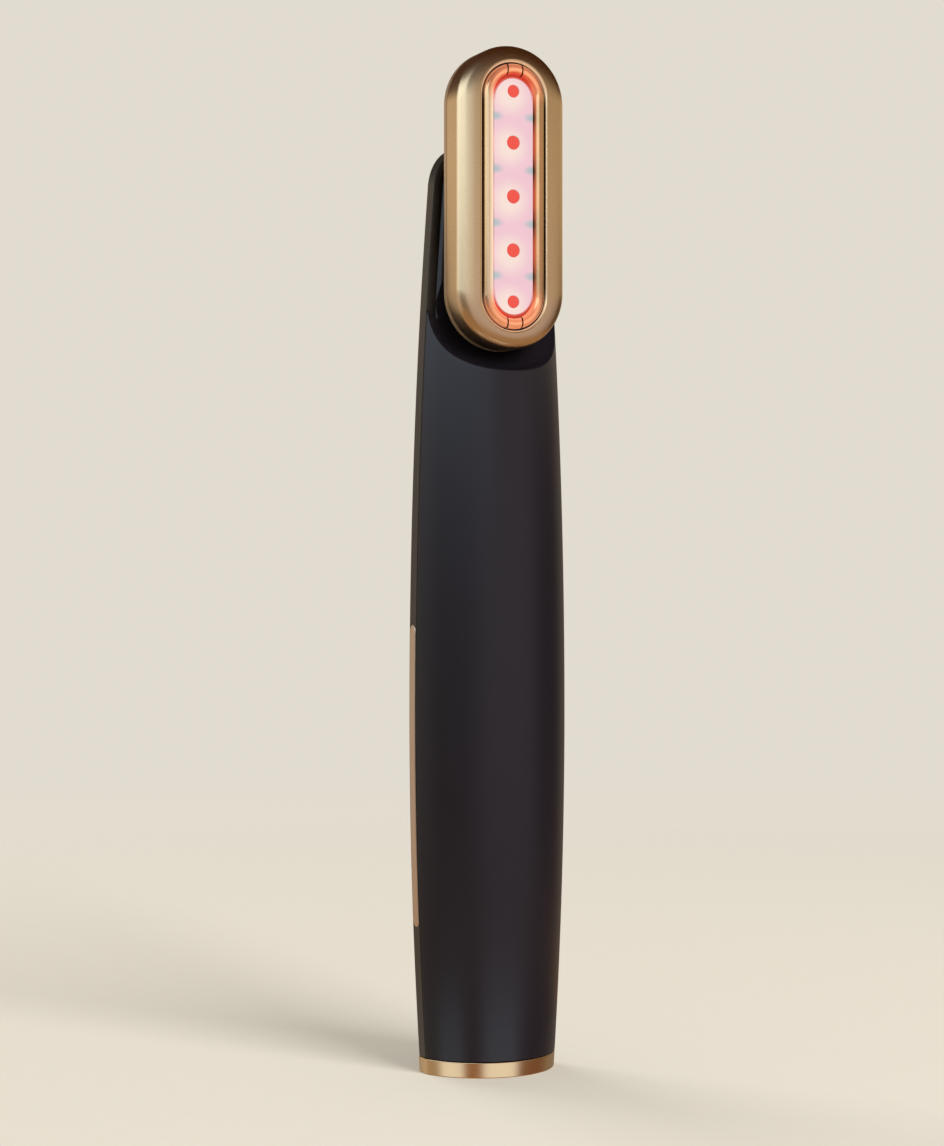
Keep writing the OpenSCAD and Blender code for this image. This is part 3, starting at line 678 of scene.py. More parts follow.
class WAND_OT_stage(WandStep, bpy.types.Operator):
    """Lay the pale floor, hang the backdrop and the panels, and set the lamps and the camera"""

    bl_idname = "wand.stage"
    bl_label = "Stage and camera"

    def execute(self, context):
        scene = context.scene
        scene.view_settings.view_transform = "Standard"
        self.backdrop(scene)
        self.floor(scene.wand_colours.pale)
        self.tent()
        self.lamp("key", azimuth=16, distance=1.5, height=0.85, width=0.9, power=26)
        self.lamp("rear_fill", azimuth=-165, distance=1.5, height=0.7, width=1.0, power=12)
        self.camera(scene)
        return {"FINISHED"}

    def seen_light(self, tree):
        """1 for what is seen, straight, in metal or through glass, and 0 for light that falls."""
        path = add(tree, "LightPath").node.outputs
        seen = path["Is Camera Ray"]
        for other in ("Is Glossy Ray", "Is Transmission Ray"):
            seen = add(tree, "Math", (seen, path[other]), operation="MAXIMUM")
        return seen

    def backdrop(self, scene):
        scene.world = bpy.data.worlds.new("Pale backdrop")
        scene.world.use_nodes = True
        tree = scene.world.node_tree
        falling, seen = 0.55, 1.0
        fill(tree.nodes["Background"], {
            "Color": scene.wand_colours.pale,
            "Strength": add(tree, "MapRange", (self.seen_light(tree), 0.0, 1.0, falling, seen)),
        })

    def floor(self, pale):
        """Matt painted board that runs out into the pale backdrop with no line between them."""
        bm = bmesh.new()
        bmesh.ops.create_circle(bm, cap_ends=True, segments=96, radius=1.2)
        material, tree, shader, place = surface(
            "Matt painted board", Roughness=0.9, IOR=1.2, Emission_Color=pale
        )
        noise = add(tree, "TexNoise", {"Vector": place, "Scale": each(4)})
        away = add(tree, "VectorMath", (place, (0, 0, 0)), operation="DISTANCE")
        own_power = 0.12
        own_light = add(tree, "Math", (self.seen_light(tree), own_power), operation="MULTIPLY")
        fill(shader, {
            "Base Color": layered(tree, times(pale, 0.97), (noise, pale)),
            "Emission Strength": own_light, "Alpha": fade(tree, away, 110, 620),
        })
        mesh = mesh_of(bm, "floor")
        mesh.materials.append(material)
        floor = new_object("floor", mesh)
        floor.visible_glossy = False

    # Rows of panels all round, as turns in degrees and colours; 0 is straight in front
    sky, silk, paper, card, brown = "dcedfc", "bfc4c8", "9d8f7b", "695e51", "382110"
    ceiling, earth, umber, shadow = "301b0d", "785e44", "6e4b30", "5c412e"
    base_row = (
        (-180, card), (-142, "948777"), (-92, "7e6f5a"), (-78, silk), (-54, silk), (-42, umber),
        (-26, umber), (-12, silk), (26, silk), (44, shadow), (78, shadow), (104, card),
    )
    body_row = (
        (-180, card), (-152, "8b7e70"), (-126, "918679"), (-98, "857d7b"), (-78, "584d44"),
        (-42, "584d44"), (-4, "91878a"), (40, "91878a"), (70, "403530"), (96, brown), (120, card),
    )
    head_row = ((-180, paper), (-134, paper), (-112, sky), (-16, sky), (8, paper))
    top_row = ((-180, ceiling), (-134, ceiling), (-112, sky), (-44, sky), (-16, ceiling))

    def tent(self):
        """Panels all round, seen only in reflections, with a low ring of them for the base.

        Each row is given by the height where it begins, half the height over which it blends into
        the row below, both in metres, and its colours.
        """
        self.hang("tent", 0.45, -1.0, 1.2, (
            (-1.0, 0, ((-180, self.earth),)), (-0.05, 0.02, self.body_row),
            (0.179, 0.013, self.head_row), (0.28, 0.03, self.top_row),
            (0.47, 0.06, ((-180, self.ceiling),)),
        ))
        self.hang("low_ring", 0.08, -0.045, -0.003, (
            (-1.0, 0, self.base_row), (-0.0075, 0.003, self.body_row),
        ), open_ends=True)

    def hang(self, name, radius, low, high, rows, open_ends=False):
        """A round wall of panels in metres, which lights nothing and shows only in reflections."""
        bm = bmesh.new()
        bmesh.ops.create_cone(
            bm, cap_ends=not open_ends, segments=96,
            radius1=radius, radius2=radius, depth=high - low,
        )
        bmesh.ops.translate(bm, vec=(0, 0, (low + high) / 2), verts=bm.verts)
        mesh = mesh_of(bm, name)
        mesh.materials.append(self.panels(name, rows))
        wall = new_object(name, mesh)
        for ray in ("camera", "diffuse", "shadow", "transmission", "volume_scatter"):
            setattr(wall, "visible_" + ray, False)

    def panels(self, name, rows):
        """White silk, paper and card, in rows above one another."""
        material = bpy.data.materials.new("Panels of the " + name)
        material.use_nodes = True
        material.cycles.emission_sampling = "NONE"
        tree = material.node_tree
        tree.nodes.remove(tree.nodes["Principled BSDF"])
        apart = add(tree, "SeparateXYZ", (add(tree, "TexCoord", out="Object"),)).node.outputs
        ahead = add(tree, "Math", (apart["Y"], -1.0), operation="MULTIPLY")
        turn = add(tree, "Math", (apart["X"], ahead), operation="ARCTAN2")
        share = add(tree, "MapRange", (turn, -pi, pi))
        light = None
        for bottom, soft, row in rows:
            strip = add(tree, "ValToRGB", (share,))
            ramp = strip.node.color_ramp
            ramp.interpolation = "EASE"
            ramp.elements.remove(ramp.elements[1])
            ramp.elements[0].color = linear(row[0][1])
            for degrees, shade in row[1:]:
                ramp.elements.new(degrees / 360 + 0.5).color = linear(shade)
            if light is None:
                light = strip
                continue
            above = add(
                tree, "MapRange", (apart["Z"], bottom - soft, bottom + soft),
                interpolation_type="SMOOTHSTEP",
            )
            light = layered(tree, light, (above, strip))
        glow = add(tree, "Emission", {"Color": light, "Strength": 2.0})
        fill(tree.nodes["Material Output"], {"Surface": glow})
        return material

    def lamp(self, name, azimuth, distance, height, width, power):
        """A soft square lamp that faces the wand's middle; azimuth 0 is straight in front."""
        light = bpy.data.lights.new(name, "AREA")
        light.shape = "RECTANGLE"
        light.size = light.size_y = width
        light.energy = power
        turn = radians(azimuth)
        place = Vector((distance * sin(turn), -distance * cos(turn), height))
        aim = Vector((0, 0, 0.09)) - place
        lamp = new_object(name, light)
        lamp.matrix_world = Matrix.LocRotScale(place, aim.to_track_quat("-Z", "Y"), None)
        lamp.visible_glossy = False

    def camera(self, scene):
        """The photograph's viewpoint: level, and 23 degrees round to the left."""
        turn = radians(-23)
        away, height = 433.3, 82.7
        # The wand stands a little to the right of the line that the camera looks along
        aside = 3.117
        data = bpy.data.cameras.new("camera")
        data.lens, data.sensor_width = 81.68, 36
        scene.camera = new_object("camera", data)
        scene.camera.location = Vector((
            away * sin(turn) - aside * cos(turn), -away * cos(turn) - aside * sin(turn), height
        )) * MM
        scene.camera.rotation_euler = Euler((pi / 2, 0, turn), "XYZ")


class WAND_OT_front_cover(WandStep, bpy.types.Operator):
    """Model the domed front cover with the pocket that the head turns in"""

    bl_idname = "wand.front_cover"
    bl_label = "Front cover"

    wall_rows = 9
    dome_rows = 80
    middle_rays = 36
    rim_rays = 4
    far_rays = 110
    crease_share = 16  # per cent of the faces beside the crease that its rounding takes

    def execute(self, context):
        form = HandleForm()
        bm = bmesh.new()
        self.rim, self.edge = form.side_angle(form.size["floor_inset"]), form.side_angle(0)
        middle = spread(-self.rim, self.rim, self.middle_rays)
        left = spread(-self.edge, -self.rim, self.rim_rays)[:-1]
        right = spread(self.rim, self.edge, self.rim_rays)[1:]
        self.skin(bm, form, left + middle + right)
        self.floor(bm, form, middle + spread(self.rim, 2 * pi - self.rim, self.far_rays)[1:])
        weld(bm)
        face_to(bm, -1)
        thicken(bm, form.size["front_wall"], lambda point: self.behind(point, form))
        round_edges(bm, self.crease_share, sharper=15, kind="PERCENT",
                    where=lambda edge: all(self.on_crease(v.co, form) for v in edge.verts))
        round_edges(bm, form.size["edge_round"], segments=2,
                    where=lambda edge: self.on_rim(edge, form))
        face_outwards(bm)
        shade = context.scene.wand_colours.front
        material = matt_moulded_plastic("Matt black moulded ABS", shade, 0.33, 0.55)
        make_piece(bm, "front_casing", "handle", material, ["front_cover"])
        return {"FINISHED"}

    def share(self, form, point):
        """How far round the dome a point lies, from 0 at the front to 1 at the parting plane."""
        half = form.half_width(point[2])
        return atan2(abs(point[0]), form.front_axis - point[1]) / atan2(half, form.front_axis)

    def skin(self, bm, form, rays):
        """Columns that climb from the pocket's foot to its edge, and run down the dome."""
        edges = [form.crease(angle) for angle in rays]
        shares = []
        for angle, bend in zip(rays, edges):
            run, y = form.wall(bend)
            x, z = form.ray(angle, run)
            shares.append(self.share(form, (x, y, z)) * (1 if angle > 0 else -1))
        self.rim_share = shares[-1 - self.rim_rays]

        def place(i, j):
            bend = form.feather_angle + (edges[i] - form.feather_angle) * min(1, j / self.wall_rows)
            run, y = form.wall(bend)
            x, z = form.ray(rays[i], run)
            if j <= self.wall_rows:
                return x, y, z
            z += (form.low - z) * (j - self.wall_rows) / self.dome_rows
            half = form.half_width(z)
            turn = shares[i] * atan2(half, form.front_axis)
            radius = hypot(half, form.front_axis)
            return radius * sin(turn), min(0.0, form.front_axis - radius * cos(turn)), z

        placed_grid(bm, len(rays) - 1, self.wall_rows + self.dome_rows, place)

    def floor(self, bm, form, rays):
        """The paddle's floor, from the bush to its outline, with the foot of the pocket's wall."""
        inner_rows, outer_rows = 5, 3
        reach = [form.floor_reach(angle) for angle in rays]

        def place(i, j):
            foot = min(reach[i], form.foot)
            if j <= inner_rows:
                hole = form.size["bush_hole"]
                run = hole + (foot - hole) * j / inner_rows
            else:
                run = foot + (reach[i] - foot) * (j - inner_rows) / outer_rows
            lift = max(0.0, run - form.foot)
            y = -(form.fillet - sqrt(form.fillet**2 - lift**2))
            x, z = form.ray(rays[i], run)
            return x, y, z

        placed_grid(bm, len(rays) - 1, inner_rows + outer_rows, place)

    def behind(self, point, form):
        """Where the inner side lies straight behind the outer: at the rim and behind the floor."""
        run = hypot(point.x, point.z - form.pivot)
        angle = atan2(abs(point.x), form.pivot - point.z)
        if abs(form.front(point.x, point.z) - point.y) < SMALL and run > form.feather + SMALL:
            at_rim = self.share(form, point) > self.rim_share + SMALL
        else:
            at_rim = run > form.feather - SMALL and self.rim + SMALL < angle < self.edge + SMALL
        if at_rim:
            return Vector((point.x, 0, point.z))
        if run < form.feather - SMALL or angle > self.rim + SMALL:
            return Vector((point.x, point.y + form.size["front_wall"], point.z))
        return None

    def on_crease(self, point, form):
        """Whether a point lies where the pocket's wall meets the dome, clear of its thin ends."""
        thin = 0.3
        run = hypot(point.x, point.z - form.pivot)
        if point.y > -thin or point.y < -form.fillet:
            return False
        on_wall = abs(form.wall(acos(1 + point.y / form.fillet))[0] - run) < 2 * SMALL
        return on_wall and form.on_front(point)

    def on_rim(self, edge, form):
        """Whether an edge runs along the outline at the parting plane, or round the base."""
        ends = [v.co for v in edge.verts]
        below_pocket = form.ray(self.edge, form.feather)[1] - 3
        along_side = all(
            abs(p.y) < SMALL and abs(p.x) > form.half_width(p.z) - 0.005 and p.z < below_pocket
            for p in ends
        )
        along_base = all(p.z < form.low + SMALL and form.on_front(p) for p in ends)
        return along_side or along_base


class WAND_OT_rear_cover(WandStep, bpy.types.Operator):
    """Model the rear cover, with its flat sides, button hole, light hole and contact slots"""

    bl_idname = "wand.rear_cover"
    bl_label = "Rear cover"

    side_stations = 104
    corner_stations = 14
    top_stations = 4
    rows = 11
    first_row = 1.7
    # The part of the back that holds the two round holes
    holes_reach, holes_from, holes_to = 4.3, 88, 108

    def execute(self, context):
        form = HandleForm()
        button = sizes("wand_button")
        bm = bmesh.new()
        self.flat_back(bm, form)
        low, high = corners("power_button")
        radius = button["button_width"] / 2 + button["button_gap"]
        self.hole(bm, (low.z + high.z) / 2, radius, room=1.3)
        low, high = corners("status_light_guide")
        self.hole(bm, (low.z + high.z) / 2, (high.z - low.z) / 2 + button["guide_gap"], room=1.9)
        for vert in bm.verts:
            vert.co.y = form.back(vert.co.x, vert.co.z)
        self.sides(bm, form)
        thicken(bm, form.size["rear_wall"])
        round_edges(bm, form.size["back_round"], segments=5, sharper=20,
                    where=lambda edge: all(self.on_shoulder(v.co, form) for v in edge.verts))
        round_edges(bm, form.size["edge_round"], segments=2,
                    where=lambda edge: self.on_rim(edge, form))
        face_outwards(bm)
        shade = context.scene.wand_colours.rear
        material = matt_moulded_plastic("Matt warm grey moulded ABS", shade, 0.42)
        gap = form.size["contact_gap"]
        deep = form.size["contact_depth"] + gap
        cuts = []
        for side in (-1, 1):
            cuts.append([contact_pill(form, side, gap, proud=1.0, deep=deep)])
            cuts.append([contact_pin(form, side, gap, start=deep - 0.3, past=1.0)])
        make_piece(bm, "rear_casing", "handle", material, ["rear_cover"], cuts)
        return {"FINISHED"}

    def flat_back(self, bm, form):
        """The outline as a flat sheet, whose rows run from the outline to the middle."""
        radius = form.size["corner_radius"]
        # Each point's x and z, and the height of the middle that its row runs to
        sides = spread(form.low, form.corner_z, self.side_stations)
        outline = [(form.half_width(z), z, z) for z in sides]
        for turn in spread(0, pi / 2, self.corner_stations)[1:]:
            x, z = form.corner_x + radius * cos(turn), form.corner_z + radius * sin(turn)
            outline.append((x, z, form.corner_z))
        for x in spread(form.corner_x, 0, self.top_stations)[1:]:
            outline.append((x, form.top, form.corner_z))

        def place_on(side):
            def place(i, j):
                x, z, middle_z = outline[i]
                share = 0.0
                if j:
                    first = self.first_row / hypot(x, z - middle_z)
                    share = first + (1 - first) * (j - 1) / (self.rows - 1)
                return side * x * (1 - share), 0, z + (middle_z - z) * share

            return place

        for side in (-1, 1):
            placed_grid(bm, len(outline) - 1, self.rows, place_on(side))
        weld(bm)

    def hole(self, bm, z, radius, room):
        """Opens a round hole in the flat sheet, and joins it to faces so many radii away."""
        reach = radius * room
        faces = [
            face for face in bm.faces
            if max(abs(face.calc_center_median().x), abs(face.calc_center_median().z - z)) < reach
        ]
        opened = each_once(edge for face in faces for edge in face.edges)
        bmesh.ops.delete(bm, geom=faces, context="FACES")
        loop = [edge for edge in opened if edge.is_valid and len(edge.link_faces) == 1]
        turn = Matrix.Rotation(pi / 2, 4, "X")
        turn.translation = Vector((0, 0, z))
        made = bmesh.ops.create_circle(bm, segments=len(loop), radius=radius, matrix=turn)
        ring = each_once(edge for vert in made["verts"] for edge in vert.link_edges)
        bmesh.ops.bridge_loops(bm, edges=loop + ring)

    def sides(self, bm, form):
        """Draws the outline forwards to the parting plane."""
        face_to(bm, 1)
        rim = [
            edge for edge in bm.edges
            if edge.is_boundary and all(self.on_outline(v.co, form) for v in edge.verts)
            and not all(v.co.z < form.low + SMALL for v in edge.verts)
        ]
        made = bmesh.ops.extrude_edge_only(bm, edges=rim)["geom"]
        for vert in verts_in(made):
            vert.co.y = 0
        weld(bm)
        face_to(bm, 1)

    def on_outline(self, point, form):
        return point.z > form.top - SMALL or abs(point.x) > form.outline(point.z) - 2 * SMALL

    def on_shoulder(self, point, form):
        return self.on_outline(point, form) and point.y > form.side - 0.1

    def on_rim(self, edge, form):
        """Whether an edge runs along the outline in front, round the base or round a hole."""
        ends = [v.co for v in edge.verts]
        along_front = all(abs(p.y) < SMALL and self.on_outline(p, form) for p in ends)
        along_base = all(
            p.z < form.low + SMALL and (self.on_outline(p, form) or form.on_back(p)) for p in ends
        )
        round_hole = all(
            form.on_back(p) and abs(p.x) < self.holes_reach
            and self.holes_from < p.z < self.holes_to for p in ends
        )
        return along_front or along_base or round_hole


def face_side(bm, side):
    """Turns a solid that faces the front to the wand's left, for a side of -1, or to its right."""
    turn = Matrix.Rotation(side * pi / 2, 3, "Z")
    bmesh.ops.rotate(bm, cent=(0, 0, 0), matrix=turn, verts=bm.verts)


def contact_pill(form, side, grow, proud, deep):
    """A pill that lies along the curved side of the handle, from proud of it to so deep in it."""
    low, high = corners("hand_contact_right")
    radius = (high.y - low.y) / 2
    middle_y, middle_z = (low.y + high.y) / 2, (low.z + high.z) / 2
    rounding = 0 if grow else form.size["contact_round"]
    bm = swept_oval(
        [(0, proud, 0), (radius + grow, proud, rounding), (radius + grow, -deep, 0), (0, -deep, 0)],
        (high.z - low.z) - 2 * radius, closed=False, steps=16, straight_steps=24,
    )
    face_side(bm, side)
    for vert in bm.verts:
        vert.co.z += middle_z
        vert.co.x += side * form.half_width(vert.co.z)
        vert.co.y += middle_y
    face_outwards(bm)
    return bm


def contact_pin(form, side, grow, start, past):
    """The pin behind a hand contact, from a depth in the side to past its inner end."""
    low, high = corners("hand_contact_right")
    middle_y, middle_z = (low.y + high.y) / 2, (low.z + high.z) / 2
    outer = form.half_width(middle_z)
    radius = form.size["pin_width"] / 2 + grow
    deep = outer - low.x + past
    bm = turned([(0, -start, 0), (radius, -start, 0), (radius, -deep, 0), (0, -deep, 0)], steps=32)
    face_side(bm, side)
    bmesh.ops.translate(bm, vec=(side * outer, middle_y, middle_z), verts=bm.verts)
    face_outwards(bm)
    return bm


class WAND_OT_hand_contacts(WandStep, bpy.types.Operator):
    """Model the two metal strips that the hand touches"""

    bl_idname = "wand.hand_contacts"
    bl_label = "Hand contacts"

    def execute(self, context):
        form = HandleForm()
        material = satin_gold("Satin plated brass", context.scene.wand_colours.contact, 0.34)
        proud = corners("hand_contact_right")[1].x - form.half
        deep = form.size["contact_depth"]
        for side, name, node in ((-1, "left_contact_strip", "hand_contact_left"),
                                 (1, "right_contact_strip", "hand_contact_right")):
            bm = contact_pill(form, side, 0, proud, deep)
            add_mesh(bm, contact_pin(form, side, 0, start=deep - 0.2, past=0))
            make_piece(bm, name, "handle", material, [node])
        return {"FINISHED"}


class WAND_OT_base(WandStep, bpy.types.Operator):
    """Model the metal base with the mouth of the charging socket"""

    bl_idname = "wand.base"
    bl_label = "Base"

    def execute(self, context):
        form = HandleForm()
        seam, sunk = 0.1, 0.05
        top = form.low - seam
        bm = bmesh.new()
        self.section(bm, form, 0, 0)
        self.mouth(bm, form)
        self.raise_faces(bm, form, 0, top, follow=True)
        round_edges(bm, form.size["base_round"], segments=3, sharper=50)
        spigot = bmesh.new()
        outer = form.size["rear_wall"] + seam
        foot = top - sunk
        self.section(spigot, form, outer, foot)
        self.section(spigot, form, outer + form.size["spigot_wall"], foot)
        self.raise_faces(spigot, form, foot, corners("base_band")[1].z, follow=False)
        add_mesh(bm, spigot)
        shade = context.scene.wand_colours.gold
        material = satin_gold("Champagne anodised aluminium", shade, 0.24)
        make_piece(bm, "base_plate", "handle", material, ["base_band"])
        return {"FINISHED"}

    def raise_faces(self, bm, form, low, high, follow):
        """Fills what the edges enclose and draws it up, where asked along the handle's form."""
        bmesh.ops.triangle_fill(bm, use_beauty=True, use_dissolve=False, edges=list(bm.edges))
        made = bmesh.ops.extrude_face_region(bm, geom=list(bm.faces), use_keep_orig=True)["geom"]
        widen = form.half_width(high) / form.half_width(low)
        for vert in verts_in(made):
            x, y, _ = vert.co
            if follow and (form.on_front(vert.co) or form.on_back(vert.co)):
                follow_with = form.front if form.on_front(vert.co) else form.back
                x *= widen
                y = follow_with(x, high)
            vert.co = x, y, high
        face_outwards(bm)

    def section(self, bm, form, inset, z):
        """Adds the outline of the handle's section: two arcs joined by the flat sides."""
        full = form.half_width(z)
        half = full - inset
        ends = []
        for centre_y, axis, facing in (
            (form.front_axis, form.front_axis, 1),
            (form.side - form.back_axis, form.back_axis, -1),
        ):
            reach = sqrt((hypot(full, axis) - inset) ** 2 - half**2)
            start = bm.verts.new((-half, centre_y - facing * reach, z))
            spun = bmesh.ops.spin(
                bm, geom=[start], cent=(0, centre_y, z), axis=(0, 0, facing),
                angle=2 * atan(half / reach), steps=56, use_merge=False, use_duplicate=False,
            )
            ends.append((start, verts_in(spun["geom_last"])[0]))
        for pair in zip(*ends):
            bm.edges.new(pair)

    def mouth(self, bm, form):
        """Adds the rounded mouth of the charging socket."""
        low, high = corners("charging_socket")
        room = form.size["socket_room"]
        left, right, front, back = low.x - room, high.x + room, low.y - room, high.y + room
        places = (left, front), (right, front), (right, back), (left, back)
        verts = [bm.verts.new((x, y, 0)) for x, y in places]
        for a, b in zip(verts, verts[1:] + verts[:1]):
            bm.edges.new((a, b))
        bmesh.ops.bevel(
            bm, geom=verts, offset=form.size["socket_radius"], offset_type="OFFSET",
            affect="VERTICES", segments=8, profile=0.5, material=-1,
        )


class WAND_OT_button(WandStep, bpy.types.Operator):
    """Model the power button and the guide of the status light on the back"""

    bl_idname = "wand.button"
    bl_label = "Button and status light"

    def execute(self, context):
        size = sizes("wand_button")
        colours = context.scene.wand_colours
        low, high = corners("power_button")
        radius, flange = size["button_width"] / 2, high.x
        face, back, z = -high.y, -low.y, (low.z + high.z) / 2
        bm = turned([
            (0, face + size["dish"], 0), (radius * 0.55, face + size["dish"] * 0.7, 0.8),
            (radius - 0.45, face, 0.25), (radius, face, 0.18),
            (radius, back - size["flange_depth"], 0), (flange, back - size["flange_depth"], 0),
            (flange, back, 0), (0, back, 0),
        ], z=z)
        material = satin_gold("Champagne anodised button", colours.gold, 0.26)
        make_piece(bm, "button_cap", "button", material, ["power_button"])
        low, high = corners("status_light_guide")
        z, radius = (low.z + high.z) / 2, (high.z - low.z) / 2
        bm = turned([
            (0, -high.y, 0), (radius, -high.y + 0.04, 0.12), (radius, -low.y, 0), (0, -low.y, 0)
        ], z=z, steps=40)
        nodes = ["status_light_guide"]
        make_piece(bm, "status_light_lens", "handle", self.acrylic(), nodes)
        return {"FINISHED"}

    def acrylic(self):
        """Clear acrylic rod, sawn and left a little cloudy: it spreads the light inside it."""
        material, tree, shader, place = surface(
            "Clear acrylic", Roughness=0.2, Transmission_Weight=0.35, IOR=1.49
        )
        cloudy = add(tree, "TexNoise", {"Vector": place, "Scale": each(1)})
        fill(shader, {"Base Color": layered(tree, linear("e4e4e0"), (cloudy, linear("f2f2ee")))})
        return material


def at_swivel(bm):
    """Moves a piece that was made round the origin up to the swivel."""
    bmesh.ops.translate(bm, vec=(0, 0, HandleForm().pivot), verts=bm.verts)
    return bm


class WAND_OT_head_shell(WandStep, bpy.types.Operator):
    """Model the head's metal bezel"""

    bl_idname = "wand.head_shell"
    bl_label = "Head shell"

    # The bezel's round face: how far in from its side, how far behind its crown, and the rounding
    face = ((0, 1.5, 0.6), (0.8, 0.62, 0.58), (2.1, 0.22, 0.6), (3.5, 0, 0.14))
    lip_fall = 0.16

    def execute(self, context):
        size = sizes("wand_head")
        low, high = corners("head_bezel")
        radius, straight = oval("head_bezel")
        back, crown = -high.y, -low.y
        slot, inner = size["slot_radius"], radius - size["bezel_wall"]
        lip, behind = size["lip_radius"], crown - size["lip_depth"]
        bm = swept_oval(
            [(radius, back, 0.12)]
            + [(radius - inwards, crown - drop, rounding) for inwards, drop, rounding in self.face]
            + [(lip, crown - self.lip_fall, 0.13), (lip, behind, 0), (slot, behind, 0),
               (slot, crown - size["bezel_face"], 0), (inner, crown - size["bezel_face"], 0),
               (inner, back, 0)],
            straight, steps=40,
        )
        low, high = corners("electrode_spacers")
        slot_straight = (high.z - low.z) - 2 * -corners("electrode_left")[0].x
        self.lengthen_slot(bm, slot, radius, straight, slot_straight)
        shade = context.scene.wand_colours.gold
        material = satin_gold("Champagne anodised aluminium bezel", shade, 0.3)
        self.light_lip(material, lip, crown, slot_straight)
        make_piece(at_swivel(bm), "bezel_ring", "head", material, ["head_bezel"])
        return {"FINISHED"}

    def lengthen_slot(self, bm, slot, radius, straight, slot_straight):
        """The slot's ends lie further out than the centres of the bezel's rounded ends."""
        shift = (slot_straight - straight) / 2
        whole = 0.65  # how far round the slot all moves with it
        for vert in bm.verts:
            beyond = abs(vert.co.z) - straight / 2
            if beyond > -SMALL:
                out = hypot(vert.co.x, max(0, beyond))
                share = min(1, max(0, (radius - out) / (radius - slot - whole)))
                vert.co.z += shift * share * (1 if vert.co.z > 0 else -1)

    def light_lip(self, material, lip, crown, straight):
        """The slot's lip catches the light of the window, most of all at the slot's two ends."""
        tree = material.node_tree
        place = add(tree, "TexCoord", out="Object")
        out, far = oval_run(tree, place, straight)
        apart = add(tree, "SeparateXYZ", (place,)).node.outputs
        end_power, left_power = 0.45, 0.2
        edge = fade(tree, out, lip + 0.14, lip + 0.3)
        at_front = fade(tree, apart["Y"], 0.35 - crown, 0.65 - crown)
        ends = add(tree, "Math", (near_ends(tree, far), end_power), operation="MULTIPLY")
        left = add(tree, "Math", (fade(tree, apart["X"], -5, -3), left_power), operation="MULTIPLY")
        power = add(tree, "Math", (ends, left), operation="MAXIMUM")
        lit = add(tree, "Math", (edge, at_front), operation="MULTIPLY")
        fill(tree.nodes["Principled BSDF"], {
            "Emission Color": linear("ffdcb4"),
            "Emission Strength": add(tree, "Math", (lit, power), operation="MULTIPLY"),
        })


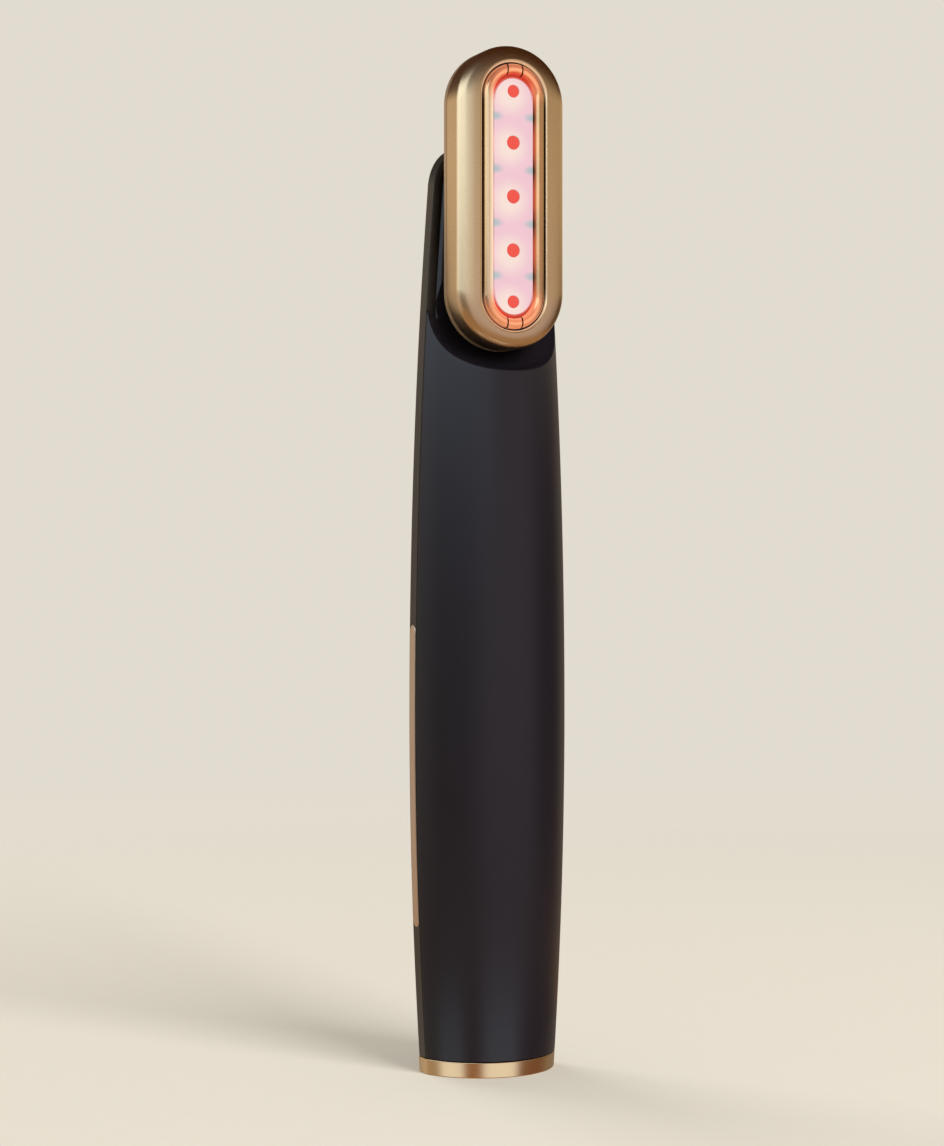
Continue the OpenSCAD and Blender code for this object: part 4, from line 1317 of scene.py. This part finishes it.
class WAND_OT_electrodes(WandStep, bpy.types.Operator):
    """Model the two electrodes and the spacers between them"""

    bl_idname = "wand.electrodes"
    bl_label = "Electrodes and spacers"

    def execute(self, context):
        size = sizes("wand_head")
        colours = context.scene.wand_colours
        ring = -corners("electrode_left")[0].x
        low, high = corners("electrode_spacers")
        straight = (high.z - low.z) - 2 * ring
        crown, base, foot = -low.y, -high.y, -corners("electrode_left")[1].y
        inner = ring - size["electrode_band"]
        rounding = size["electrode_band"] / 2 - 0.06
        half = high.x
        profile = [
            (inner, base, 0), (inner, crown, rounding), (ring, crown, rounding), (ring, base, 0)
        ]
        gap = half + size["spacer_gap"] / 2
        polished = self.lit_metal("Polished plated steel", colours, 0.2, inner, gap, straight)
        for side, name, node in ((-1, "left_electrode_band", "electrode_left"),
                                 (1, "right_electrode_band", "electrode_right")):
            bm = swept_oval(profile, straight, steps=40)
            self.keep(bm, side * (half + size["spacer_gap"]), side)
            self.round_ends(bm, half + size["spacer_gap"])
            pin = size["pin_width"] / 2
            for z in (-size["pin_height"], size["pin_height"]):
                add_mesh(bm, turned(
                    [(0, base + 0.1, 0), (pin, base + 0.1, 0), (pin, foot, 0), (0, foot, 0)],
                    x=side * (ring - pin), z=z, steps=20,
                ))
            make_piece(at_swivel(bm), name, "head", polished, [node])
        bm = swept_oval(profile, straight, steps=40)
        self.keep(bm, -half, 1)
        self.keep(bm, half, -1)
        self.round_ends(bm, half)
        material = self.lit_metal("Plated spacer", colours, 0.22, inner, gap, straight)
        make_piece(
            at_swivel(bm), "spacers", "head", material, ["electrode_spacers"]
        )
        return {"FINISHED"}

    def lit_metal(self, name, colours, roughness, inner, gap, straight):
        """Polished plated metal, lit orange by each light, peach at its ends, cream on its left."""
        material = satin_gold(name, colours.electrode, roughness)
        tree = material.node_tree
        shader = tree.nodes["Principled BSDF"]
        place = add(tree, "TexCoord", out="Object")
        out, far = oval_run(tree, place, straight)
        apart = add(tree, "SeparateXYZ", (place,)).node.outputs
        side_power, end_power, left_power = 0.42, 0.9, 0.62
        ends = near_ends(tree, far)
        wall = fade(tree, out, inner + 0.2, inner + 1)
        wall = add(tree, "Math", (wall, side_power), operation="MULTIPLY")
        lit = add(tree, "Mix", {"Factor": ends, "A": wall, "B": end_power})
        orange = add(tree, "Math", (by_lights(tree, place, 2.7, 6.2), lit), operation="MULTIPLY")
        left = fade(tree, apart["X"], -3.2, -1.6)
        cream = fade(tree, out, inner + 0.4, inner + 1.4)
        for share in (left, left_power):
            cream = add(tree, "Math", (cream, share), operation="MULTIPLY")
        # Painted light: seen from below, the inner side of the ring's upper end glows deep red
        pivot = HandleForm().pivot
        upper = fade(tree, apart["Z"], pivot + 19.5, pivot + 16.5)
        under = fade(tree, out, inner + 0.2, inner + 0.5)
        under = add(tree, "Math", (under, upper), operation="MULTIPLY")
        # Painted shade: the narrow gaps beside the spacers are painted dark, and the painted glow is
        # taken out of them
        reach = add(tree, "Math", (apart["X"],), operation="ABSOLUTE")
        beside = add(tree, "Math", (reach, gap * MM), operation="SUBTRACT")
        line = fade(tree, add(tree, "Math", (beside,), operation="ABSOLUTE"), 0.08, 0.16)
        metal = shader.inputs["Base Color"].links[0].from_socket
        # Painted shade: the ring's inner side, nearest the window, is painted a darker brown
        shaded_root = fade(tree, out, inner + 0.05, inner + 0.4)
        fill(shader, {
            "Base Color": layered(tree, metal, (shaded_root, linear("8a5c3c")), (line, linear("3a1c12"))),
            "Emission Color": layered(
                tree, colours.bleed, (left, linear("fff2de")), (ends, linear("ff9a72")),
                (under, linear("c8402f")), (line, (0, 0, 0, 1)),
            ),
            "Emission Strength": add(tree, "Math", (orange, cream), operation="MAXIMUM"),
        })
        return material

    def keep(self, bm, x, side):
        """Keeps what lies on one side of a plane across x, and closes the cut."""
        bmesh.ops.bisect_plane(
            bm, geom=list(bm.verts) + list(bm.edges) + list(bm.faces), dist=WELD,
            use_snap_center=True, plane_co=(x, 0, 0), plane_no=(side, 0, 0), clear_inner=True,
        )
        weld(bm)
        edges = [edge for edge in bm.edges if edge.is_boundary]
        bmesh.ops.holes_fill(bm, edges=edges)
        face_outwards(bm)

    def round_ends(self, bm, x):
        """Breaks the sharp edges round the faces that the cut left."""
        round_edges(bm, 0.05, segments=2, sharper=50,
                    where=lambda edge: all(abs(abs(v.co.x) - x) < SMALL for v in edge.verts))


class WAND_OT_window(WandStep, bpy.types.Operator):
    """Model the lit window and the five lights in it"""

    bl_idname = "wand.window"
    bl_label = "Window and lights"

    def execute(self, context):
        size = sizes("wand_head")
        colours = context.scene.wand_colours
        low, high = corners("head_window")
        lip, straight = oval("head_window")
        radius = lip - size["window_lip"]
        front, back = -low.y, -high.y
        step = back + size["window_lip_depth"]
        margin = 0.4
        bm = swept_oval([
            (radius - margin, front, 0), (radius, front, size["window_round"]), (radius, step, 0),
            (lip, step, 0), (lip, back, 0), (lip - margin, back, 0),
        ], straight, closed=False, steps=40)
        lights_low, lights_high = corners("lights")
        rods = bmesh.new()
        holes = []
        for i, light_z in enumerate(light_heights()):
            width = size["end_light_width"] if i in (0, 4) else size["light_width"]
            hole = width / 2 + size["light_gap"]
            holes.append(turned(
                [(0, front + 1, 0), (hole, front + 1, 0), (hole, back - 1, 0), (0, back - 1, 0)],
                z=light_z, steps=48,
            ))
            add_mesh(rods, turned([
                (0, -lights_low.y, 0), (width / 2, -lights_low.y, 0.1),
                (width / 2, -lights_high.y, 0), (0, -lights_high.y, 0),
            ], z=light_z, steps=48))
        material = lit_window(colours)
        at_swivel(bm)
        make_piece(bm, "lit_window", "head", material, ["head_window"], [holes])
        make_piece(rods, "light_rods", "head", plain_light(colours), ["lights"])
        return {"FINISHED"}


class WAND_OT_inner_parts(WandStep, bpy.types.Operator):
    """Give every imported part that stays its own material"""

    bl_idname = "wand.inner_parts"
    bl_label = "Inner parts"

    # How each plain finish is made, its name, colour and roughness, and the parts that have it
    finishes = (
        (matt_moulded_plastic, "Natural nylon frame", "d8d4cc", 0.5, ["inner_frame"]),
        (matt_moulded_plastic, "Black acetal", "1d1d1f", 0.4, ["button_switch", "swivel_bush"]),
        (matt_moulded_plastic, "Closed cell foam", "2b2b2b", 0.9, ["battery_pad"]),
        (matt_moulded_plastic, "White polycarbonate", "f1e6e0", 0.45,
         ["switch_plunger", "reflector", "light_board"]),
        (matt_moulded_plastic, "Silicone rubber", "4a4a4d", 0.7, ["motor_sleeve"]),
        (matt_moulded_plastic, "Red silicone wire", "b3261e", 0.45, ["battery_leads"]),
        (matt_moulded_plastic, "Blue silicone wire", "2255aa", 0.45, ["motor_leads"]),
        (matt_moulded_plastic, "Polyimide film", "c8862f", 0.3, ["flat_cable", "head_lead"]),
        (matt_moulded_plastic, "Pale yellow lamp body", "f2e6b0", 0.35, ["status_light"]),
        (satin_gold, "Turned steel", "b4b4b0", 0.3,
         ["frame_screws", "eccentric_weight", "spring_washer", "swivel_post", "retaining_clip"]),
        (satin_gold, "Phosphor bronze", "c9a24e", 0.3, ["contact_springs"]),
        (satin_gold, "Nickel plated shell", "c4c4c0", 0.2, ["charging_socket", "vibration_motor"]),
        (satin_gold, "Aluminium laminate pouch", "9aa4ac", 0.4, ["battery_cell"]),
    )

    def execute(self, context):
        colours = context.scene.wand_colours
        for make, name, shade, roughness, nodes in self.finishes:
            self.finish(make(name, linear(shade), roughness), nodes)
        self.finish(self.painted_plastic(colours.back), ["head_back_cover"])
        self.finish(self.board(), ["main_board"])
        self.finish(self.tongue(), ["socket_tongue"])
        self.finish(self.glowing_carrier(colours.glow), ["electrode_carrier"])
        return {"FINISHED"}

    def finish(self, material, nodes):
        for node in nodes:
            part = frame["nodes"][node]
            part.data.materials.clear()
            part.data.materials.append(material)

    def painted_plastic(self, shade):
        """Satin metallic paint on ABS: flakes too fine to see lift the colour towards the light."""
        material, tree, shader, place = surface(
            "Champagne painted ABS", Roughness=0.38, Metallic=0.4, IOR=1.5
        )
        flakes = add(tree, "TexNoise", {"Vector": place, "Scale": each(0.12)})
        fill(shader, {
            "Base Color": layered(tree, times(shade, 0.92), (flakes, times(shade, 1.08))),
            "Normal": add(
                tree, "Bump", {"Height": flakes, "Distance": 0.002 * MM, "Strength": 0.4}
            ),
        })
        return material

    def board(self):
        """Glass epoxy board under green solder mask, with fine copper tracks showing through."""
        material, tree, shader, place = surface("Green solder mask", Roughness=0.3)
        tracks = add(tree, "TexWave", {
            "Vector": place, "Scale": each(3), "Distortion": 6.0, "Detail": 1.0
        }, out="Fac")
        fill(shader, {"Base Color": layered(tree, linear("1a4f34"), (tracks, linear("2c6d48")))})
        return material

    def tongue(self):
        """Black liquid crystal polymer, moulded, with gilt contact strips along it."""
        material, tree, shader, place = surface("Black polymer tongue", Roughness=0.35)
        across = add(tree, "SeparateXYZ", (place,), "X")
        share = add(tree, "Math", (across, each(0.5)), operation="MULTIPLY")
        strip = add(tree, "Math", (share, 1.0), operation="PINGPONG")
        gilt = add(tree, "Math", (strip, 0.72), operation="GREATER_THAN")
        fill(shader, {
            "Base Color": layered(tree, linear("1b1b1c"), (gilt, linear("c9a24e"))),
            "Metallic": gilt,
        })
        return material

    def glowing_carrier(self, glow):
        """Black moulded ABS, lit red round the window by the light that leaks past it."""
        material, tree, shader, place = surface(
            "Black ABS carrier", Roughness=0.4, Emission_Color=glow
        )
        radius, straight = oval("head_window")
        radius -= sizes("wand_head")["window_lip"]
        out, far = oval_run(tree, place, straight)
        leak = fade(tree, out, radius + 0.3, radius + 0.75)
        side_power, end_power = 0.35, 0.6
        near_light = by_lights(tree, place, 3.8, 5.6)
        beside = add(tree, "Math", (near_light, side_power), operation="MULTIPLY")
        ends = add(tree, "Math", (near_ends(tree, far), end_power), operation="MULTIPLY")
        power = add(tree, "Math", (beside, ends), operation="MAXIMUM")
        fine = add(tree, "TexNoise", {"Vector": place, "Scale": each(0.3)})
        fill(shader, {
            "Base Color": layered(tree, linear("1b120c"), (fine, linear("26190f"))),
            "Emission Strength": add(tree, "Math", (leak, power), operation="MULTIPLY"),
        })
        return material


STEPS = (
    WAND_OT_stage,
    WAND_OT_front_cover,
    WAND_OT_rear_cover,
    WAND_OT_hand_contacts,
    WAND_OT_base,
    WAND_OT_button,
    WAND_OT_head_shell,
    WAND_OT_electrodes,
    WAND_OT_window,
    WAND_OT_inner_parts,
)


SETTINGS = {
    "wand_handle": WandHandleSizes,
    "wand_head": WandHeadSizes,
    "wand_button": WandButtonSizes,
    "wand_colours": WandColours,
}


class WAND_PT_panel(bpy.types.Panel):
    bl_label = "Skin firming wand"
    bl_idname = "WAND_PT_panel"
    bl_space_type = "VIEW_3D"
    bl_region_type = "UI"
    bl_category = "Wand"

    def draw(self, context):
        for step in STEPS:
            self.layout.operator(step.bl_idname)
        for group in SETTINGS:
            settings = getattr(context.scene, group)
            for name in settings.__annotations__:
                self.layout.prop(settings, name)


def register():
    for group in SETTINGS.values():
        bpy.utils.register_class(group)
    for name, group in SETTINGS.items():
        setattr(bpy.types.Scene, name, PointerProperty(type=group))
    for step in STEPS:
        bpy.utils.register_class(step)
    bpy.utils.register_class(WAND_PT_panel)


def unregister():
    bpy.utils.unregister_class(WAND_PT_panel)
    for step in reversed(STEPS):
        bpy.utils.unregister_class(step)
    for name, group in SETTINGS.items():
        delattr(bpy.types.Scene, name)
        bpy.utils.unregister_class(group)


def main():
    register()
    for step in STEPS:
        family, name = step.bl_idname.split(".")
        getattr(getattr(bpy.ops, family), name)()


if __name__ == "__main__":
    main()
